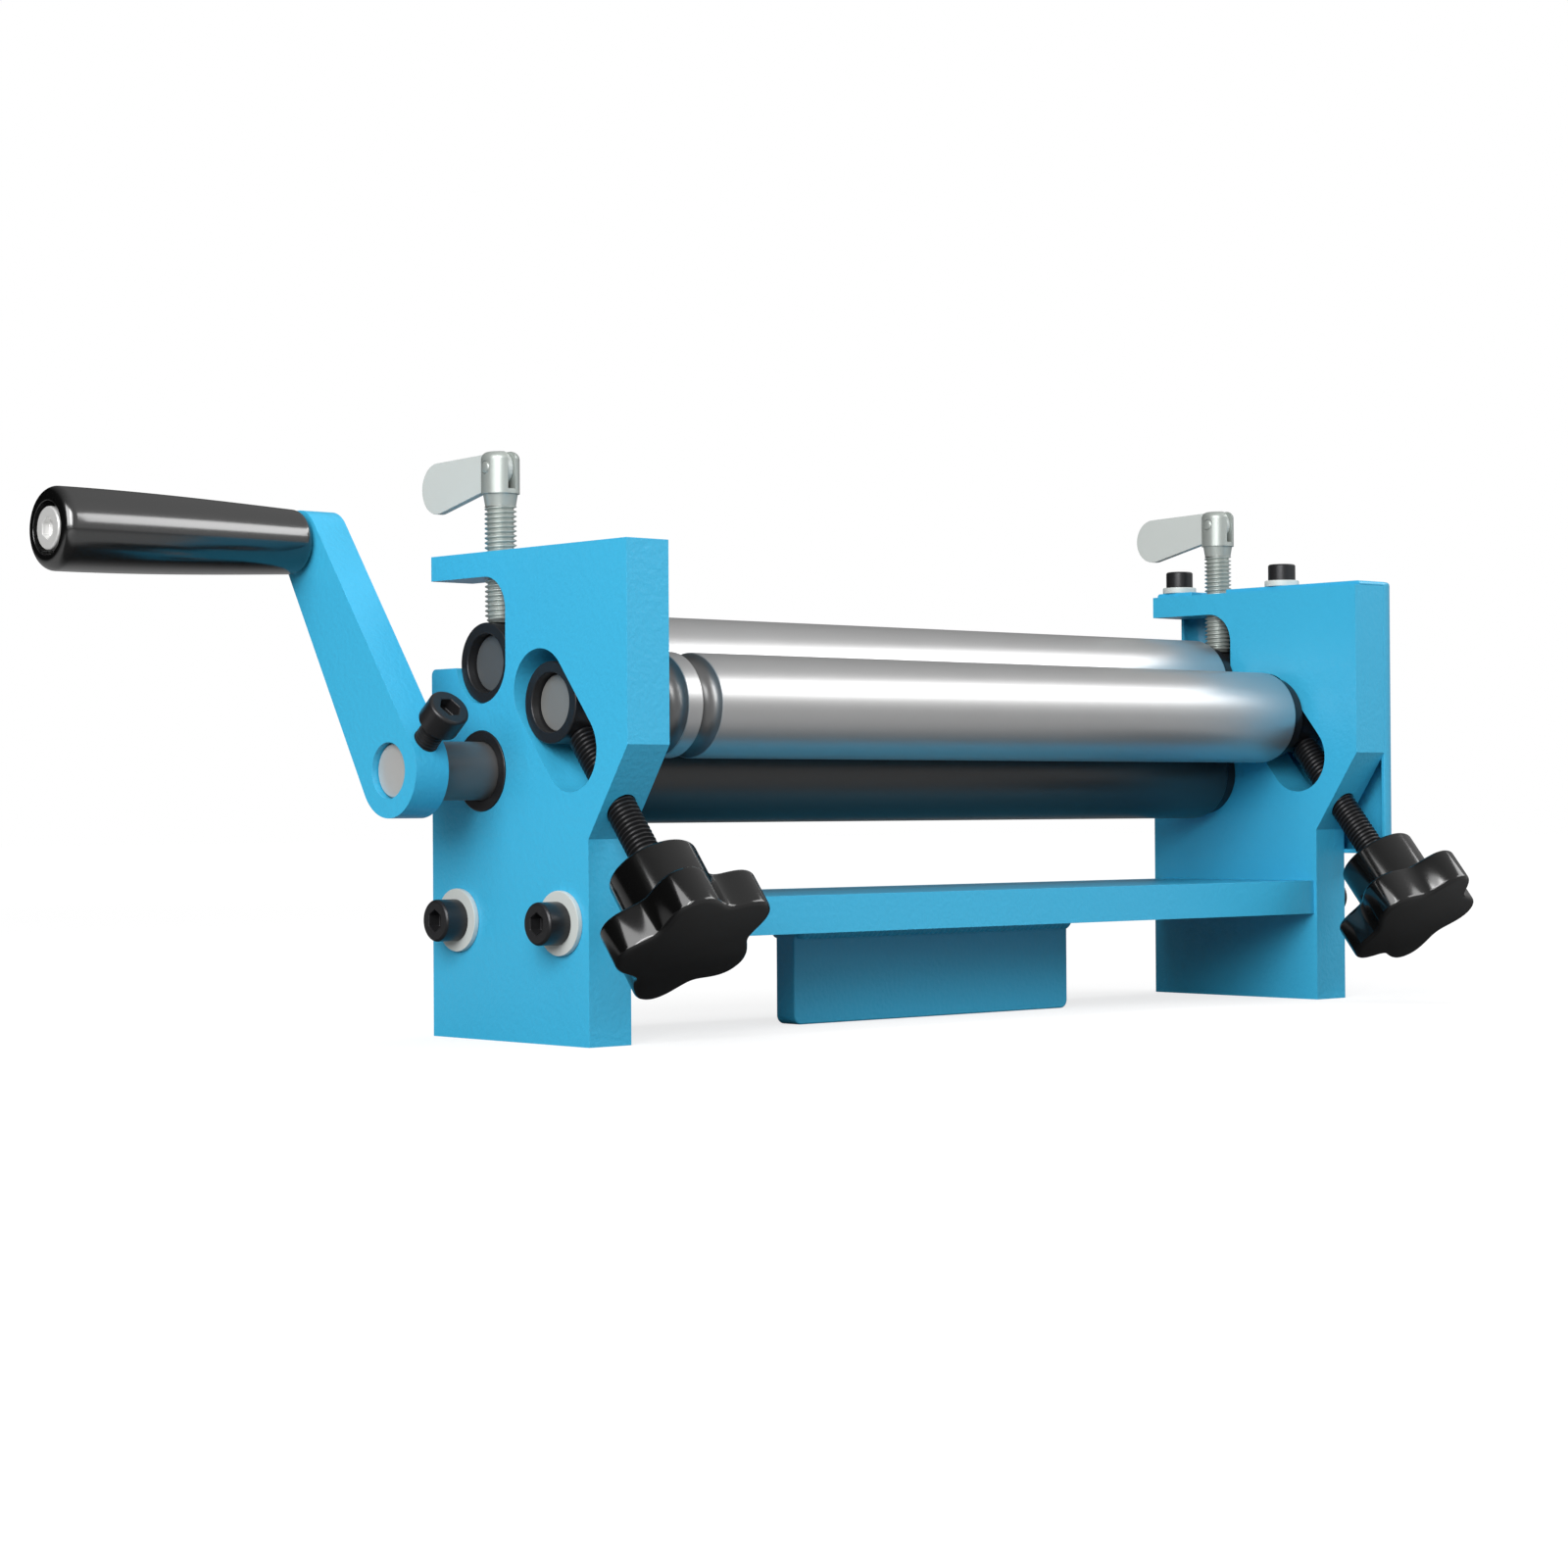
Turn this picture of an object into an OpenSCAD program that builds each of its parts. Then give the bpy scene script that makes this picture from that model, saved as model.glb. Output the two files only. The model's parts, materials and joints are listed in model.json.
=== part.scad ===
// Bench slip roll machine: three rolls between two end plates, turned by a crank.
// Millimetres. +Z is up, +X points to the gear end and +Y to the back.
// The origin is the centre of the vise tab's underside, level with the two feet.

/* [End plates] */
// Thickness of each end plate
plate_t = 16; // [13:0.5:20]
// Height of the end plates
plate_h = 150; // [146:1:165]
// Clear distance between the end plates
plate_gap = 321; // [200:1:480]
// Distance from the tab's middle to the front edge of the plates
plate_front = 57; // [54:0.5:62]
// Distance from the tab's middle to the back edge of the plates
plate_back = 40; // [38:0.5:46]
// How far the foot's front edge stands back from the upper front edge
foot_setback = 18.7; // [12:0.1:21]
// How far the slanted front edge, where the star screw leaves, starts below the bending roll's axis
slant_drop = 13.3; // [9:0.1:18]
// Height of the slanted front edge
slant_h = 27.8; // [24:0.1:34]
// Thickness of the hook over the upper roll's slot
hook_t = 7.7; // [6:0.1:10]
// Radius inside the hook, where it meets the slot's front wall
hook_r = 10.5; // [4:0.5:12]
// How far the ledge behind the upper slot lies below the upper roll's axis
ledge_drop = 1.2; // [0:0.1:5]
// Rounding of the ledge's back corner
ledge_r = 2; // [0.5:0.1:4]

/* [Base] */
// Thickness of the base plate
base_t = 12; // [10:0.5:14]
// Depth of the base plate, front to back
base_d = 74; // [70:1:76]
// Height of the base plate's underside as a share of the end plates' height
base_share = 0.208; // [0.18:0.002:0.23]
// Length of the vise tab
tab_l = 129; // [60:1:190]
// Thickness of the vise tab
tab_t = 9; // [6:0.5:14]
// Rounding of the tab's lower corners
tab_r = 3; // [1:0.5:8]
// Leg of the weld fillet between the tab and the base plate
weld_leg = 3; // [2:0.5:5]
// How far the base screws lie below the middle of the base plate
base_screw_drop = 0.6; // [0:0.1:1.5]
// Distance of the base screws from the tab's middle, to the front and to the back
base_screw_y = 25.65; // [18:0.05:27]

/* [Rolls] */
// Diameter of the three rolls
roll_d = 33; // [30:0.5:35]
// Gap between the upper and the lower roll when the upper one is down
nip = 0.3; // [0.2:0.1:1]
// Distance from the tab's middle back to the driven rolls' axes
drive_y = 14.4; // [12:0.1:15]
// Height of the upper roll's axis as a share of the end plates' height
upper_share = 0.7727; // [0.755:0.001:0.785]
// Gap between the bending roll and the upper roll at rest
bend_gap = 2; // [1:0.1:3]
// How steeply the bending roll lies below the upper roll, in degrees
bend_fall = 22; // [19:0.5:25]
// Tilt of the bending slots from upright, in degrees
slot_tilt = 39; // [36:0.5:42]
// Length of slot left above the bending roll at rest
slot_up = 4.9; // [3:0.1:6]
// Length of slot left below the bending roll at rest
slot_down = 18.7; // [12:0.1:20]
// Rounding of the rolls' edges
roll_edge_r = 1.6; // [0.5:0.1:3]
// Radius of the wire grooves
groove_r = 4; // [2:0.1:4.5]
// Depth of the wire grooves
groove_depth = 3.2; // [1:0.1:3.5]
// Distance from the bending roll's left end to the first wire groove
groove_start = 17.1; // [14:0.1:24]
// Distance from one wire groove to the next
groove_step = 13.7; // [10:0.1:18]
// Number of wire grooves
groove_count = 2; // [1:1:6]

/* [Bushes] */
// Diameter of the roll journals
journal_d = 18; // [14:0.5:20]
// Outside diameter of the bushes
bush_d = 25; // [23.5:0.5:27]
// Thickness of the bush flanges, between the plates and the rolls
bush_flange_t = 5; // [3:0.5:7]
// How much smaller in radius a bush flange is than the roll beside it
flange_step = 1.7; // [0.5:0.1:2.5]
// How far the sliding bushes' outer faces lie inside the plates' outer faces
bush_recess = 1.7; // [0.5:0.1:3]
// How far the lower bushes stand out of the plates
bush_proud = 0.5; // [0.2:0.1:1]
// How far a roll's plain end lies inside its bush
journal_recess = 3.1; // [1:0.1:5]
// Chamfer on the journals' ends
journal_chamfer = 0.6; // [0.2:0.1:1]

/* [Crank] */
// Thickness of the crank arm
crank_t = 12; // [9:0.5:16]
// Gap between the left end plate and the crank arm
crank_gap = 22.7; // [18:0.1:30]
// Distance between the crank's shaft and the handle
crank_l = 86; // [70:1:100]
// Angle at rest from upright towards the back, in degrees
crank_angle = 33.5; // [0:0.5:60]
// Radius of the boss round the shaft
crank_boss_r = 14.4; // [13:0.1:18]
// Radius of the handle end of the arm
crank_tip_r = 10; // [8:0.1:13]
// Diameter of the shaft inside the crank
crank_shaft_d = 17; // [12:0.5:17.5]
// How far the shaft's end lies inside the crank
crank_recess = 2; // [0.5:0.1:4]
// Depth of the flat that the set screw presses on
shaft_flat = 1.2; // [0.6:0.1:2]
// Angle of the set screw from upright towards the front, in degrees
set_screw_angle = 51.5; // [30:0.5:70]
// Distance from the shaft's axis to the set screw's outer face
set_screw_reach = 30; // [27:0.1:34]

/* [Grip] */
// Length of the turning grip
grip_l = 87.7; // [60:0.1:110]
// Diameter of the grip at the crank
grip_inner_d = 20.2; // [18:0.1:24]
// Diameter of the grip at its outer end
grip_outer_d = 25.2; // [24:0.1:32]
// Rounding of the grip's outer end
grip_outer_r = 3.4; // [2:0.1:4]
// Rounding of the grip's inner end
grip_inner_r = 3.4; // [1:0.1:4]
// Diameter of the recess for the bolt's head
grip_recess_d = 16.2; // [15:0.1:18]
// Depth of the recess for the bolt's head
grip_recess = 5.2; // [5.2:0.1:9]

/* [Wing screws] */
// Diameter of the adjusting screws
screw_d = 10; // [8:0.5:11]
// Height of the wing screw's neck above the end plate
wing_stand = 14.3; // [13.5:0.1:20]
// Height of the tapered neck
wing_neck = 4; // [2:0.1:6]
// Diameter of the slotted head
wing_head_d = 12; // [11.5:0.1:15]
// Height of the slotted head
wing_head_h = 13; // [12.5:0.1:16]
// Height of the pin above the underside of the head
wing_pin_z = 8; // [7.5:0.1:8.5]
// Diameter of the pin
wing_pin_d = 4; // [3:0.1:4.5]
// Thickness of the folding paddle
paddle_t = 2.6; // [2:0.1:3.2]
// Distance from the pin to the centre of the paddle's round end
paddle_l = 31.8; // [24:0.1:40]
// Radius of the paddle's round end
paddle_r = 8.1; // [6:0.1:9]
// Radius of the paddle's root, round the pin
paddle_root_r = 5; // [4:0.1:5.4]
// How far the paddle droops at rest, in degrees
paddle_droop = 7.2; // [4:0.1:9]

/* [Star knobs] */
// Distance from the bending roll's axis down the screw to the knob's hub
knob_reach = 63.6; // [60:0.1:72]
// How much further out the right knob stands, screwed less far into the plate
knob_step = 1.6; // [0:0.1:3]
// Diameter of the knob's hub
knob_hub_d = 28; // [22:0.5:32]
// Height of the hub above the lobes
knob_hub_h = 16.8; // [8:0.1:20]
// Thickness of the lobes
knob_lobe_t = 13.3; // [8:0.1:16]
// Radius over the tips of the lobes
knob_tip_r = 25.3; // [23:0.1:28]
// Radius at the valleys between the lobes
knob_valley_r = 19.2; // [16.5:0.1:21]
// Number of lobes
knob_lobes = 5; // [4:1:8]

/* [Gear end] */
// Number of teeth on each gear
gear_teeth = 14; // [12:1:18]
// Width of the gears
gear_w = 4.5; // [3.5:0.5:8]
// Distance from the end plate to the gears
gear_offset = 1.4; // [1:0.1:3]
// Play between the gears' teeth, measured round the pitch circle
gear_play = 0.5; // [0.3:0.1:0.8]
// Width and height of the keys
key_w = 4; // [3:0.5:5]
// Thickness of the retaining clips
clip_t = 1; // [0.8:0.1:1.5]
// Depth of the clips' grooves
clip_depth = 0.8; // [0.5:0.1:1.2]
// How far the shafts stand out past the clips
shaft_past_clip = 0.5; // [0.3:0.1:2]
// Sheet thickness of the gear cover
cover_t = 1.5; // [1:0.1:3]
// Outer rounding of the cover's upright edges
cover_r = 8.5; // [4:0.5:9]
// Height of the cover's floor between the base washers and the lower gear, as a share
floor_share = 0.417; // [0.2:0.01:0.9]
// How far the cover's top flange stands back from the plate's inner face
flange_setback = 2.5; // [1:0.1:4]
// Radius of the notch in the flange, round the wing screw
notch_r = 8.5; // [7:0.5:10]
// Distance from the wing screw back to the rear cover screw
cover_screw_back = 19.2; // [17.5:0.1:19.3]
// Distance from the wing screw forward to the front cover screw
cover_screw_front = 30.9; // [20:0.1:45]

/* [Fasteners] */
// Diameter of the base screws and of the crank's screws
bolt_d = 8; // [6:0.5:9]
// Head diameter of those screws
bolt_head_d = 13; // [12:0.5:14]
// Head height of those screws
bolt_head_h = 8; // [6:0.5:10]
// Hexagon socket of those screws, across the flats
bolt_socket = 6; // [5:0.5:7]
// Length of the base screws under the head
base_screw_l = 40; // [30:1:60]
// Diameter of the base washers
base_washer_d = 19.6; // [16:0.1:22]
// Thickness of the base washers
base_washer_t = 1.8; // [1:0.1:2.5]
// Height of the handle bolt's head
handle_head_h = 5; // [4:0.1:5.2]
// Diameter of the cover screws
cover_screw_d = 6; // [4:0.5:6.5]
// Head diameter of the cover screws
cover_head_d = 10; // [9:0.5:11]
// Head height of the cover screws
cover_head_h = 6; // [5:0.5:7]
// Length of the cover screws under the head
cover_screw_l = 9.9; // [8:0.1:10.5]
// Diameter of the cover washers
cover_washer_d = 12.6; // [12:0.1:14]
// Thickness of the cover washers
cover_washer_t = 2.2; // [1:0.1:2.6]

/* [Hidden] */
// Radial clearance of running fits
run_clear = 0.05;
// Radial clearance of a bush in its slot
slide_clear = 0.1;
// Clearance between flat faces that turn or slide against each other
face_clear = 0.25;
// Radial clearance of a screw in a plain hole
hole_clear = 0.3;
// Clearance at a screw's tip and along a key
tip_clear = 0.1;
// Overrun of a cut past the face that it opens
over = 1;
// Socket depth as a share of the head's height
socket_share = 0.5;
// Edge chamfer of a cap screw's head as a share of its height
head_edge_share = 0.08;
// Tooth height outside and inside the pitch circle, as shares of the module
addendum_share = 0.95;
dedendum_share = 1.25;
// Pressure angle of the gears, in degrees
pressure_angle = 20;
// Neck diameters as shares of the screw and of the head
neck_foot_share = 0.94;
neck_top_share = 0.9;
// Rounding of the wing screw's head as a share of its diameter
dome_share = 0.2;
// Part of a key that lies in the shaft
key_seat_share = 0.5;
// Radial width of a retaining clip as a share of the journal's diameter
clip_width_share = 0.14;
// Width of the star knobs' lobes: a share above 1 makes them wider than the valleys
lobe_share = 1.15;
// Star knob turn at rest, in degrees, left and right
knob_turns = [23.6, 56.8];
// Steps of a flank, of the grip's outline, of a rounding and of the star's outline
flank_steps = 5;
grip_steps = 14;
round_steps = 6;
star_steps = 90;
$fn = 96;

inner_x = plate_gap / 2;
outer_x = inner_x + plate_t;
plate_mid_x = inner_x + plate_t / 2;
roll_end_x = inner_x - bush_flange_t - 2 * face_clear;
upper_z = plate_h * upper_share;
lower_z = upper_z - roll_d - nip;
base_z = plate_h * base_share;
hook_z = plate_h - hook_t;
bush_bore_r = journal_d / 2 + run_clear;
slot_r = bush_d / 2 + slide_clear;
flange_r = roll_d / 2 - flange_step;
sliding_bush_x = outer_x - bush_recess;
plain_end_x = sliding_bush_x - journal_recess;
bend_y = drive_y - (roll_d + bend_gap) * cos(bend_fall);
bend_z = upper_z - (roll_d + bend_gap) * sin(bend_fall);
screw_r = screw_d / 2;
screw_hole_r = screw_r + run_clear;
tip_reach = bush_d / 2 + tip_clear;
base_screw_z = base_z + base_t / 2 - base_screw_drop;

crank_x = -(outer_x + crank_gap);
crank_outer_x = crank_x - crank_t;
crank_mid_x = crank_x - crank_t / 2;
handle_y = drive_y + crank_l * sin(crank_angle);
handle_z = lower_z + crank_l * cos(crank_angle);
grip_x = crank_outer_x - face_clear;
bolt_r = bolt_d / 2;
handle_bolt_l = grip_l - grip_recess + face_clear + crank_t;

gear_module = (roll_d + nip) / gear_teeth;
gear_pitch_r = gear_module * gear_teeth / 2;
gear_tip_r = gear_pitch_r + addendum_share * gear_module;
gear_root_r = gear_pitch_r - dedendum_share * gear_module;
gear_x = outer_x + gear_offset;
clip_x = gear_x + gear_w + tip_clear;
shaft_end_x = clip_x + clip_t + shaft_past_clip;
cover_inner_x = shaft_end_x + face_clear + tip_clear;
cover_outer_x = cover_inner_x + cover_t;
washer_top_z = base_screw_z + base_washer_d / 2;
cover_floor_z = washer_top_z + (lower_z - gear_tip_r - cover_t - washer_top_z) * floor_share;

wing_neck_z = plate_h + wing_stand;
wing_head_z = wing_neck_z + wing_neck;
pin_z = wing_head_z + wing_pin_z;
paddle_gap_r = paddle_t / 2 + tip_clear;

// Colours, as the photograph shows them
blue = [0.22, 0.66, 0.86];
steel = [0.74, 0.74, 0.74];
dark_steel = [0.36, 0.35, 0.34];
black_oxide = [0.12, 0.12, 0.12];
zinc = [0.78, 0.81, 0.79];
gloss_black = [0.05, 0.05, 0.05];

// Lays a flat outline drawn in Y and Z along X, from x onwards
module along_x(x, length) {
    translate([x, 0, 0]) rotate([90, 0, 90]) linear_extrude(length) children();
}

// Turns a piece that is built up along Z so that it runs along +X from x
module to_x(x, y, z) {
    translate([x, y, z]) rotate([0, 90, 0]) children();
}

// Repeats a left-hand piece at the right-hand end
module at_right() {
    mirror([1, 0, 0]) children();
}

// Places what is built up along Z on the bending slot's axis, with the roll's axis at zero
module on_slot_axis(x) {
    translate([x, bend_y, bend_z]) rotate([-slot_tilt, 0, 0]) children();
}

// Outline of two circles joined by their outer tangents: r1 at the origin, r2 at length l along +Y
module tapered_link(r1, r2, l) {
    lean = asin((r1 - r2) / l);
    circle(r1);
    translate([0, l]) circle(r2);
    polygon([
        [r1 * cos(lean), r1 * sin(lean)],
        [r2 * cos(lean), l + r2 * sin(lean)],
        [-r2 * cos(lean), l + r2 * sin(lean)],
        [-r1 * cos(lean), r1 * sin(lean)]
    ]);
}

// Cap screw with its head above z = 0, its shank below and a hexagon socket
module cap_screw(d, l, head_d, head_h, socket) {
    edge = head_h * head_edge_share;
    difference() {
        union() {
            translate([0, 0, -l]) cylinder(d = d, h = l);
            cylinder(d = head_d, h = head_h - edge);
            translate([0, 0, head_h - edge])
                cylinder(d1 = head_d, d2 = head_d - 2 * edge, h = edge);
        }
        translate([0, 0, head_h * (1 - socket_share)])
            cylinder(d = socket / cos(30), h = head_h * socket_share + over, $fn = 6);
    }
}

// Flat washer standing on z = 0
module washer(d, bore_r, t) {
    difference() {
        cylinder(d = d, h = t);
        translate([0, 0, -over]) cylinder(r = bore_r, h = t + 2 * over);
    }
}

// Bush along +Z: its body starts at 0 and its flange ends the length
module flanged_bush(body_l) {
    difference() {
        union() {
            cylinder(d = bush_d, h = body_l + bush_flange_t);
            translate([0, 0, body_l]) cylinder(r = flange_r, h = bush_flange_t);
        }
        translate([0, 0, -over]) cylinder(r = bush_bore_r, h = body_l + bush_flange_t + 2 * over);
    }
}

// Opening for the upper bush: a U open to the back, with a rounded inner corner under the hook
module upper_slot_outline() {
    front = drive_y - slot_r;
    back = plate_back + over;
    translate([drive_y, upper_z]) circle(slot_r);
    translate([front, upper_z]) square([2 * slot_r, hook_z - hook_r - upper_z]);
    translate([front + hook_r, upper_z]) square([back - front - hook_r, hook_z - upper_z]);
    translate([front + hook_r, hook_z - hook_r]) circle(hook_r);
    translate([drive_y, upper_z - ledge_drop]) square([back - drive_y, ledge_drop + over]);
    // Rounding of the ledge's back corner
    difference() {
        translate([plate_back - ledge_r, upper_z - ledge_drop - ledge_r])
            square([ledge_r + over, ledge_r + over]);
        translate([plate_back - ledge_r, upper_z - ledge_drop - ledge_r]) circle(ledge_r);
    }
}

// Slanted slot for the bending bush
module bend_slot_outline() {
    translate([bend_y, bend_z]) rotate(-slot_tilt) {
        translate([0, slot_up]) circle(slot_r);
        translate([0, -slot_down]) circle(slot_r);
        translate([-slot_r, -slot_down]) square([2 * slot_r, slot_up + slot_down]);
    }
}

// Side view of an end plate, drawn in Y and Z
module plate_outline() {
    difference() {
        polygon([
            [-plate_front, plate_h],
            [-plate_front, bend_z - slant_drop],
            [-plate_front + foot_setback, bend_z - slant_drop - slant_h],
            [-plate_front + foot_setback, 0],
            [plate_back, 0],
            [plate_back, plate_h]
        ]);
        upper_slot_outline();
        bend_slot_outline();
        translate([drive_y, lower_z]) circle(bush_d / 2 + run_clear);
        for (side = [-1, 1])
            translate([side * base_screw_y, base_screw_z]) circle(bolt_r + hole_clear);
    }
}

// Left end plate with the threaded holes of both adjusting screws
module end_plate() {
    difference() {
        along_x(-outer_x, plate_t) plate_outline();
        translate([-plate_mid_x, drive_y, hook_z - over])
            cylinder(r = screw_hole_r, h = hook_t + 2 * over);
        on_slot_axis(-plate_mid_x)
            translate([0, 0, -slot_down - knob_reach]) cylinder(r = screw_hole_r, h = knob_reach);
    }
}

module left_end_plate() {
    color(blue) end_plate();
}

// The right plate also carries the gear cover's screws in its top edge
module right_end_plate() {
    depth = cover_screw_l - cover_t - cover_washer_t;
    color(blue) difference() {
        at_right() end_plate();
        for (y = cover_screw_ys())
            translate([plate_mid_x, y, plate_h - depth - tip_clear])
                cylinder(r = cover_screw_d / 2 + run_clear, h = depth + tip_clear + over);
    }
}

// Flat plate between the end plates, with threaded holes in both ends
module base_plate() {
    hole_l = base_screw_l - base_washer_t - plate_t + over;
    color(blue) difference() {
        translate([-inner_x, -base_d / 2, base_z]) cube([plate_gap, base_d, base_t]);
        for (end = [-1, 1], side = [-1, 1])
            to_x(end * (inner_x + over - (hole_l + over) / 2), side * base_screw_y, base_screw_z)
                cylinder(r = bolt_r + run_clear, h = hole_l + over, center = true);
    }
}

// Rib welded under the base plate, held in a vise's jaws
module vise_tab() {
    half = tab_l / 2;
    color(blue) {
        rotate([90, 0, 0]) linear_extrude(tab_t, center = true) {
            translate([-half, tab_r]) square([tab_l, base_z - tab_r]);
            translate([-half + tab_r, 0]) square([tab_l - 2 * tab_r, tab_r]);
            for (end = [-1, 1]) translate([end * (half - tab_r), tab_r]) circle(tab_r);
        }
        along_x(-half, tab_l) polygon([
            [-tab_t / 2 - weld_leg, base_z],
            [-tab_t / 2, base_z - weld_leg],
            [tab_t / 2, base_z - weld_leg],
            [tab_t / 2 + weld_leg, base_z]
        ]);
    }
}

// Four cap screws that clamp the end plates to the base plate
module base_screws() {
    color(black_oxide) for (end = [0, 1]) mirror([end, 0, 0])
        for (side = [-1, 1])
            translate([-outer_x - base_washer_t, side * base_screw_y, base_screw_z])
                rotate([0, -90, 0])
                    cap_screw(bolt_d, base_screw_l, bolt_head_d, bolt_head_h, bolt_socket);
}

module base_washers() {
    color(zinc) for (end = [0, 1]) mirror([end, 0, 0])
        for (side = [-1, 1])
            translate([-outer_x, side * base_screw_y, base_screw_z]) rotate([0, -90, 0])
                washer(base_washer_d, bolt_r + hole_clear, base_washer_t);
}

// Fixed bush of the lower roll, pressed into the left plate
module lower_bush() {
    color(black_oxide) to_x(-outer_x - bush_proud, drive_y, lower_z)
        flanged_bush(bush_proud + plate_t);
}

module lower_bush_left() {
    lower_bush();
}

module lower_bush_right() {
    at_right() lower_bush();
}

// Bush that slides in a slot of the left plate, with its axis at y, z
module sliding_bush(y, z) {
    color(black_oxide) to_x(-sliding_bush_x, y, z)
        flanged_bush(sliding_bush_x - inner_x + face_clear);
}

module upper_bush_left() {
    sliding_bush(drive_y, upper_z);
}

module upper_bush_right() {
    at_right() sliding_bush(drive_y, upper_z);
}

module bend_bush_left() {
    sliding_bush(bend_y, bend_z);
}

module bend_bush_right() {
    at_right() sliding_bush(bend_y, bend_z);
}

// Barrel of a roll along X with rounded edges, drawn as radius and X
module roll_outline() {
    translate([0, -roll_end_x]) square([roll_d / 2 - roll_edge_r, 2 * roll_end_x]);
    translate([0, -roll_end_x + roll_edge_r])
        square([roll_d / 2, 2 * (roll_end_x - roll_edge_r)]);
    for (end = [-1, 1])
        translate([roll_d / 2 - roll_edge_r, end * (roll_end_x - roll_edge_r)]) circle(roll_edge_r);
}

// Journal from the barrel's end out to x, with a chamfered tip; side is -1 on the left
module journal_outline(side, d, x) {
    points = [
        [0, side * (roll_end_x - over)],
        [d / 2, side * (roll_end_x - over)],
        [d / 2, side * (x - journal_chamfer)],
        [d / 2 - journal_chamfer, side * x],
        [0, side * x]
    ];
    polygon(side > 0 ? points : [for (i = [len(points) - 1 : -1 : 0]) points[i]]);
}

// Spins an outline of radius and X round the axis at y, z
module turned(y, z) {
    translate([0, y, z]) rotate([0, 90, 0]) rotate_extrude() children();
}

// Keyway and clip groove at the gear end of a driven roll
module gear_seat_cuts(y, z) {
    translate([gear_x - tip_clear, y - key_w / 2 - run_clear, z + key_seat_z() - run_clear])
        cube([gear_w + 2 * tip_clear, key_w + 2 * run_clear, key_w + over]);
    to_x(clip_x - tip_clear / 2, y, z) difference() {
        cylinder(d = journal_d + over, h = clip_t + tip_clear);
        translate([0, 0, -over])
            cylinder(d = journal_d - 2 * clip_depth, h = clip_t + 2 * over);
    }
}

// Lower driven roll: its left journal carries the crank, its right one a gear
module lower_roll() {
    crank_end_x = -crank_outer_x - crank_recess;
    color(dark_steel) difference() {
        turned(drive_y, lower_z) {
            roll_outline();
            journal_outline(1, journal_d, shaft_end_x);
            journal_outline(-1, journal_d, -crank_x);
            journal_outline(-1, crank_shaft_d, crank_end_x);
        }
        gear_seat_cuts(drive_y, lower_z);
        translate([crank_mid_x, drive_y, lower_z]) rotate([set_screw_angle, 0, 0])
            translate([-crank_t, -journal_d, crank_shaft_d / 2 - shaft_flat])
                cube([3 * crank_t / 2 - face_clear, 2 * journal_d, journal_d]);
    }
}

module upper_roll() {
    color(steel) difference() {
        turned(drive_y, upper_z) {
            roll_outline();
            journal_outline(1, journal_d, shaft_end_x);
            journal_outline(-1, journal_d, plain_end_x);
        }
        gear_seat_cuts(drive_y, upper_z);
    }
}

// Free bending roll, with grooves for wire near its left end
module bend_roll() {
    color(steel) turned(bend_y, bend_z) difference() {
        union() {
            roll_outline();
            journal_outline(1, journal_d, plain_end_x);
            journal_outline(-1, journal_d, plain_end_x);
        }
        for (i = [0 : groove_count - 1])
            translate([
                roll_d / 2 - groove_depth + groove_r,
                -roll_end_x + groove_start + i * groove_step
            ]) circle(groove_r);
    }
}

// Unwound length of an involute, as an angle in degrees, at radius r from base circle rb
function involute(r, rb) = let (t = sqrt(max(0, pow(r / rb, 2) - 1))) t * 180 / PI - atan(t);

// Half angle of a tooth at radius r; constant below the base circle
function half_tooth(r) =
    let (
        rb = gear_pitch_r * cos(pressure_angle),
        half_pitch = 90 / gear_teeth - gear_play / 4 / gear_pitch_r * 180 / PI
    )
    half_pitch + involute(gear_pitch_r, rb) - involute(max(r, rb), rb);

// Spur gear outline with a tooth centred at the given angle
module gear_outline(turn) {
    span = gear_tip_r - gear_root_r;
    polygon([
        for (i = [0 : gear_teeth - 1], s = [-1, 1], k = [0 : flank_steps])
            let (
                r = s < 0 ? gear_root_r + span * k / flank_steps
                          : gear_tip_r - span * k / flank_steps,
                a = turn + i * 360 / gear_teeth + s * half_tooth(r)
            )
            [r * cos(a), r * sin(a)]
    ]);
}

function key_seat_z() = journal_d / 2 - key_w * key_seat_share;

// Gear on a driven roll: bored, with a keyway and a hub that reaches back to hub_x
module drive_gear(z, turn, hub_x) {
    color(black_oxide) difference() {
        union() {
            translate([0, drive_y, z]) along_x(gear_x, gear_w) gear_outline(turn);
            to_x(hub_x, drive_y, z) cylinder(d = bush_d - 2 * flange_step, h = gear_x - hub_x);
        }
        to_x(hub_x - over, drive_y, z)
            cylinder(r = bush_bore_r, h = gear_x + gear_w - hub_x + 2 * over);
        translate([hub_x - over, drive_y - key_w / 2 - run_clear, z])
            cube([
                gear_x + gear_w - hub_x + 2 * over,
                key_w + 2 * run_clear,
                key_seat_z() + key_w + run_clear
            ]);
    }
}

// The lower gear has a tooth on top, and the upper one a space at the bottom
module lower_gear() {
    drive_gear(lower_z, 90, outer_x + bush_proud + face_clear);
}

module upper_gear() {
    drive_gear(upper_z, -90 + 180 / gear_teeth, sliding_bush_x + face_clear);
}

module gear_key(z) {
    color(dark_steel) translate([gear_x, drive_y - key_w / 2, z + key_seat_z()])
        cube([gear_w, key_w, key_w]);
}

module lower_gear_key() {
    gear_key(lower_z);
}

module upper_gear_key() {
    gear_key(upper_z);
}

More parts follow.
